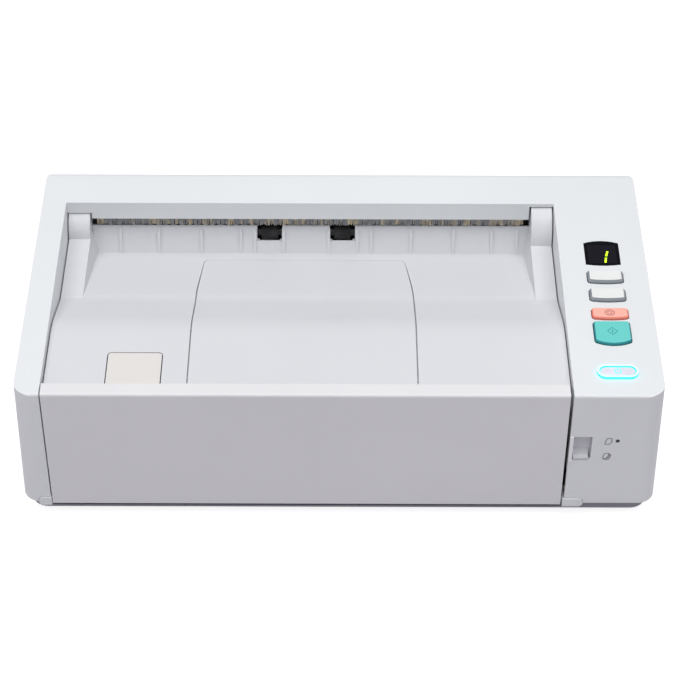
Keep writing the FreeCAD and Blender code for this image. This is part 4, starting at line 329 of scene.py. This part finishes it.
LOOKS = {
    "outer_cover": "cover", "eject_tray": "tray", "tray_extension_panel": "panel", "door_panel": "door",
    "door_liner": "liner", "feed_extension_plate": "plate", "base_pan": "pan", "rubber_feet": "feet",
    "cover_screws": "screw", "hinge_brackets": "steel", "hinge_pins": "steel", "lower_paper_guide": "guide",
    "rear_turn_guide": "guide", "upper_paper_guide": "guide", "lower_image_sensor": "sensor",
    "upper_image_sensor": "sensor", "lower_sensor_glass": "glass", "upper_sensor_glass": "glass",
    "door_hinge_caps": "cover", "lever_jamb": "jamb", "feed_lever": "lever", "display_window": "display",
    "power_light_ring": "ring", "console_board": "board", "main_board": "board", "static_brush": "fibre",
    "motor_bracket": "steel", "motor_body": "steel", "power_jack": "black", "usb_shell": "steel",
    "usb_tongue": "black", "feed_belt": "belt", "rear_belt": "belt", "eject_belt": "belt",
    "open_key": "open key", "latch_rod": "guide", "paper_guide_left": "plate", "paper_guide_right": "plate",
    "guide_pinion": "gear", "feed_roller": "roller", "front_transport_roller": "roller",
    "rear_transport_roller": "roller", "retard_roller": "roller", "eject_roller": "roller",
    "eject_drive_roller": "roller", "feed_tyres": "tyre", "front_transport_tyres": "tyre",
    "rear_transport_tyres": "tyre", "retard_tyres": "tyre", "eject_tyres": "tyre",
    "front_idler_roller": "gear", "rear_idler_roller": "gear", "eject_idler_gear": "gear",
    "lay_shaft": "gear", "motor_pinion": "gear", "upper_key": "white key", "lower_key": "white key",
    "stop_key": "salmon key", "start_key": "teal key", "power_key": "power key",
}

for node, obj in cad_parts.items():
    for s in obj.material_slots:
        s.material = MATS[LOOKS[node]]


# Detail pieces, in millimetres

FRONT_Y = -77.4
FRONT_HEIGHT = 78.0
TOP_RISE = math.tan(math.radians(1.9))
FRONT_DRAFT = math.tan(math.radians(1.2))
PRINT_THICK = 0.04
FIELD_THICK = 0.03

# Faces of a box whose lower four corners come first, and of one whose upper four come first
BOX_FACES = [(3, 2, 1, 0), (4, 5, 6, 7), (0, 1, 5, 4), (1, 2, 6, 5), (2, 3, 7, 6), (3, 0, 4, 7)]
HANGING_FACES = [(0, 1, 2, 3), (7, 6, 5, 4), (0, 4, 5, 1), (1, 5, 6, 2), (2, 6, 7, 3), (3, 7, 4, 0)]


def top_z(y):
    """Height of the sloping top of the cover."""
    return FRONT_HEIGHT + (y - FRONT_Y) * TOP_RISE


def front_y(z):
    """Depth of the leaning front face."""
    return FRONT_Y - (FRONT_HEIGHT - z) * FRONT_DRAFT


def on_front(u, v, h):
    """Point on the front face: u is X, v is Z, h stands out towards the viewer."""
    return (u, front_y(v) - h, v)


def on_top(u, v, h):
    """Point on the top: u is X, v is Y, h stands up."""
    return (u, v, top_z(v) + h)


def key_top(node):
    """Places points on a key's cap, a little above its highest corner line."""
    low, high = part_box(node)
    rise = high[2] / MM - top_z(high[1] / MM)

    def place(u, v, h):
        return (u, v, top_z(v) + rise + h)
    return place


def mesh_piece(name, verts, faces, material, body, slot):
    mesh = bpy.data.meshes.new(name)
    mesh.from_pydata([Vector(v) * MM for v in verts], [], faces)
    mesh.materials.append(MATS[material])
    obj = bpy.data.objects.new(name, mesh)
    bpy.context.scene.collection.objects.link(obj)
    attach(obj, body)
    return obj


def stroke(points, width, place, closed=False, lift=0.0, thick=PRINT_THICK):
    """Thin raised line along a path of flat points, set on a surface by place(u, v, height)."""
    verts, faces = [], []
    n = len(points)
    for i, (u, v) in enumerate(points):
        if closed:
            a, b = points[i - 1], points[(i + 1) % n]
        else:
            a, b = points[max(i - 1, 0)], points[min(i + 1, n - 1)]
        du, dv = b[0] - a[0], b[1] - a[1]
        length = math.hypot(du, dv) or 1.0
        nu, nv = -dv / length * width / 2, du / length * width / 2
        for h in (lift, lift + thick):
            verts.append(place(u + nu, v + nv, h))
            verts.append(place(u - nu, v - nv, h))
    segments = n if closed else n - 1
    for i in range(segments):
        a, b = 4 * i, 4 * ((i + 1) % n)
        faces += [(a + 2, a + 3, b + 3, b + 2), (a, b, b + 1, a + 1)]
        faces += [(a + 1, b + 1, b + 3, a + 3), (a, a + 2, b + 2, b)]
    if not closed:
        e = 4 * (n - 1)
        faces += [(0, 1, 3, 2), (e, e + 2, e + 3, e + 1)]
    return verts, faces


def merge(groups):
    """One set of corners and faces from several."""
    verts, faces = [], []
    for v, f in groups:
        base = len(verts)
        verts += v
        faces += [tuple(i + base for i in face) for face in f]
    return verts, faces


def circle(u, v, ru, rv, count=20, first=0.0, last=360.0):
    """Points round an ellipse, or along a part of it."""
    whole = last - first > 359.0
    steps = count if whole else count - 1
    angles = [math.radians(first + (last - first) * n / steps) for n in range(count)]
    return [(u + ru * math.cos(a), v + rv * math.sin(a)) for a in angles]


# Feed selection icons on the front: a single sheet and a stack, with a small dot
PAGE = [(119.15, 48.75), (121.3, 48.75), (122.05, 49.9), (122.2, 51.9), (121.7, 52.4), (120.1, 52.3),
        (119.55, 50.9)]
SHEET = [(119.0, 41.2), (119.5, 42.9), (121.0, 43.2), (121.5, 42.6), (121.05, 40.8), (120.3, 39.9),
         (119.0, 39.95)]
SHEET_EDGES = [[(118.75, 40.0), (119.7, 39.2), (121.55, 39.2), (122.1, 40.4), (122.35, 42.2), (121.3, 43.2)],
               [(120.5, 39.6), (121.5, 40.6), (121.95, 42.3)]]
shapes = [stroke(PAGE, 0.5, on_front, True), stroke(SHEET, 0.4, on_front, True)]
shapes += [stroke(line, 0.42, on_front) for line in SHEET_EDGES]
mesh_piece("feed_icons", *merge(shapes), "faint icon", "base", "key_power")
dot = circle(124.75, 50.75, 0.48, 0.48)
mesh_piece("feed_dot", *stroke(dot, 0.95, on_front, True), "icon", "base", "key_power")

# Generic stop and start symbols on the two coloured keys
on_stop = key_top("stop_key")
stop_marks = [stroke(circle(123.4, -25.4, 2.1, 1.75), 0.42, on_stop, True),
              stroke(circle(123.4, -25.35, 1.0, 0.9), 0.34, on_stop, True)]
mesh_piece("stop_symbol", *merge(stop_marks), "red icon", "stop_key", "key_salmon")
on_start = key_top("start_key")
diamond = [(121.35, -37.5), (123.6, -39.9), (125.85, -37.5), (123.6, -35.1)]
start_marks = [stroke(diamond, 0.4, on_start, True),
               stroke([(123.6, -38.6), (123.6, -36.4)], 0.4, on_start)]
mesh_piece("start_symbol", *merge(start_marks), "green icon", "start_key", "key_teal")

# Glowing power mark: an open ring and a bar
POWER_X, POWER_Y = 123.65, -63.0
on_power = key_top("power_key")
open_ring = circle(POWER_X, POWER_Y, 1.4, 1.4, 16, 125.0, 415.0)
power_marks = [stroke(open_ring, 0.45, on_power),
               stroke([(POWER_X, POWER_Y + 0.2), (POWER_X, POWER_Y + 1.8)], 0.45, on_power)]
mesh_piece("power_symbol", *merge(power_marks), "lit mark", "power_key", "light_ring")

# Lit figure one in the display window, as two slanting segments
FIGURE_WIDTH, FIGURE_LIFT, FIGURE_THICK = 0.95, 0.05, 0.03
BARS = [[(125.45, 14.35), (125.6, 14.9), (126.2, 17.2), (126.4, 17.8)],
        [(124.75, 9.85), (124.85, 10.4), (125.2, 12.7), (125.35, 13.3)]]
bars = [stroke(bar, FIGURE_WIDTH, on_top, lift=FIGURE_LIFT, thick=FIGURE_THICK) for bar in BARS]
mesh_piece("display_figure", *merge(bars), "lit digit", "base", "light_ring")

# Slightly paler field under the figure
FIELD = [(117.0, 9.6), (130.3, 9.6), (130.3, 22.2), (117.0, 22.2)]
corners = [on_top(u, v, h) for h in (0.0, FIELD_THICK) for u, v in FIELD]
mesh_piece("display_field", corners, BOX_FACES, "display field", "base", "key_power")

# Fine bristles of the static brush, in two leaning rows that hang from a thin holder
BRISTLE_LENGTH = 5.2
BRISTLE_PITCH = 0.62
BRISTLE_THICK = 0.36
BRISTLE_LEAN = 0.9
TIP_SCATTER = 0.5
END_MARGIN = 1.0
ROW_INSET, ROW_PITCH = 0.4, 0.3
HOLDER_OVERLAP = 0.2

low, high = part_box("static_brush")
low, high = [c / MM for c in low], [c / MM for c in high]
root_z = high[2] - BRISTLE_LENGTH
half_thick = BRISTLE_THICK / 2
shapes = []
count = int((high[0] - low[0] - 2 * END_MARGIN) / BRISTLE_PITCH)
for row in (0, 1):
    for n in range(count):
        x = low[0] + END_MARGIN + (n + 0.5 * row) * BRISTLE_PITCH
        y = low[1] + ROW_INSET + ROW_PITCH * row
        lean = BRISTLE_LEAN * math.sin(12.9 * n + 4.1 * row) * math.sin(0.7 * n)
        tip = low[2] + TIP_SCATTER * (1.0 + math.sin(7.3 * n + row))
        left, right = x - half_thick, x + half_thick
        front, back = y - half_thick, y + half_thick
        corners = [(left, front), (right, front), (right, back), (left, back)]
        verts = [(a, b, root_z) for a, b in corners] + [(a + lean, b, tip) for a, b in corners]
        shapes.append((verts, HANGING_FACES))
plan = [(low[0], low[1]), (high[0], low[1]), (high[0], high[1]), (low[0], high[1])]
holder = [(x, y, z) for z in (root_z - HOLDER_OVERLAP, high[2]) for x, y in plan]
shapes.append((holder, BOX_FACES))
brush = mesh_piece("brush_bristles", *merge(shapes), "fibre", "base", "brush_fibre")
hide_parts("static_brush")


# Camera, floor and light

# The camera is solved from the edges of the top of the cover in the photograph
CAMERA_PLACE = (0.0, -0.73214, 0.70885)
CAMERA_DOWN = 42.4
CAMERA_ROLL = 0.17
LENS = 109.588
SENSOR_WIDTH = 36.0
SHIFT_X = 0.0009
CLIP_END = 50.0

scene = bpy.context.scene
cam_data = bpy.data.cameras.new("photo camera")
cam_data.lens = LENS
cam_data.sensor_width = SENSOR_WIDTH
cam_data.shift_x = SHIFT_X
cam_data.clip_end = CLIP_END
cam = bpy.data.objects.new("photo camera", cam_data)
scene.collection.objects.link(cam)
pitch = Matrix.Rotation(math.radians(90.0 - CAMERA_DOWN), 4, "X")
roll = Matrix.Rotation(math.radians(CAMERA_ROLL), 4, "Z")
cam.matrix_world = Matrix.Translation(CAMERA_PLACE) @ pitch @ roll
scene.camera = cam

# The floor is white to the camera. Mirrored and seen through glass it shows half of that light,
# and the rest of its brightness there is the light that falls on it
FLOOR_HALF = 6.0
FLOOR_DARK, FLOOR_PALE = (0.52, 0.495, 0.54), (0.55, 0.525, 0.57)
FLOOR_WHITE = (0.84, 0.84, 0.84, 1.0)
MIRRORED_SHARE = 0.5

floor_mat, tree, shader = new_material("studio floor")
vector = coords(tree)
soft = noise(tree, vector, FLOOR_SCALE, 3.0)
tree.links.new(mix_colour(tree, soft, FLOOR_DARK, FLOOR_PALE), shader.inputs["Base Color"])
tree.links.new(ramp(tree, soft, LOW, HIGH, 0.85, 0.95), shader.inputs["Roughness"])
fine = noise(tree, vector, FLOOR_GRAIN_SCALE, 2.0)
tree.links.new(bump(tree, fine, 0.05, FLOOR_DEPTH), shader.inputs["Normal"])
shader.inputs["Specular IOR Level"].default_value = 0.0
ray = tree.nodes.new("ShaderNodeLightPath")
mirrored = combine(tree, "MAXIMUM", ray.outputs["Is Glossy Ray"], ray.outputs["Is Transmission Ray"])
mirrored = combine(tree, "MULTIPLY", mirrored, MIRRORED_SHARE)
shown = combine(tree, "MAXIMUM", ray.outputs["Is Camera Ray"], mirrored)
tree.links.new(shown, shader.inputs["Emission Strength"])
shader.inputs["Emission Color"].default_value = FLOOR_WHITE
mesh = bpy.data.meshes.new("studio floor")
floor_corners = [(-FLOOR_HALF, -FLOOR_HALF, 0), (FLOOR_HALF, -FLOOR_HALF, 0), (FLOOR_HALF, FLOOR_HALF, 0),
                 (-FLOOR_HALF, FLOOR_HALF, 0)]
mesh.from_pydata(floor_corners, [], [(0, 1, 2, 3)])
mesh.materials.append(floor_mat)
floor = bpy.data.objects.new("studio floor", mesh)
scene.collection.objects.link(floor)


def area(name, place, target, size, power):
    """Rectangular soft light, aimed at a point; sizes in metres, power in watts."""
    data = bpy.data.lights.new(name, "AREA")
    data.shape = "RECTANGLE"
    data.size, data.size_y = size
    data.energy = power
    lamp = bpy.data.objects.new(name, data)
    lamp.location = place
    lamp.rotation_euler = (Vector(target) - Vector(place)).to_track_quat("-Z", "Y").to_euler()
    scene.collection.objects.link(lamp)


area("top softbox", (0.0, -0.25, 1.6), (0, 0, 0), (1.8, 1.4), 23.0)
area("left softbox", (-1.3, -0.6, 0.9), (0, 0, 0.03), (1.0, 0.8), 1.5)

WORLD_TINT = (0.96, 0.98, 1.0, 1.0)
WORLD_STRENGTH = 0.36

world = bpy.data.worlds.new("studio")
scene.world = world
world.use_nodes = True
background = world.node_tree.nodes["Background"]
background.inputs["Color"].default_value = WORLD_TINT
background.inputs["Strength"].default_value = WORLD_STRENGTH

scene.view_settings.view_transform = "Standard"
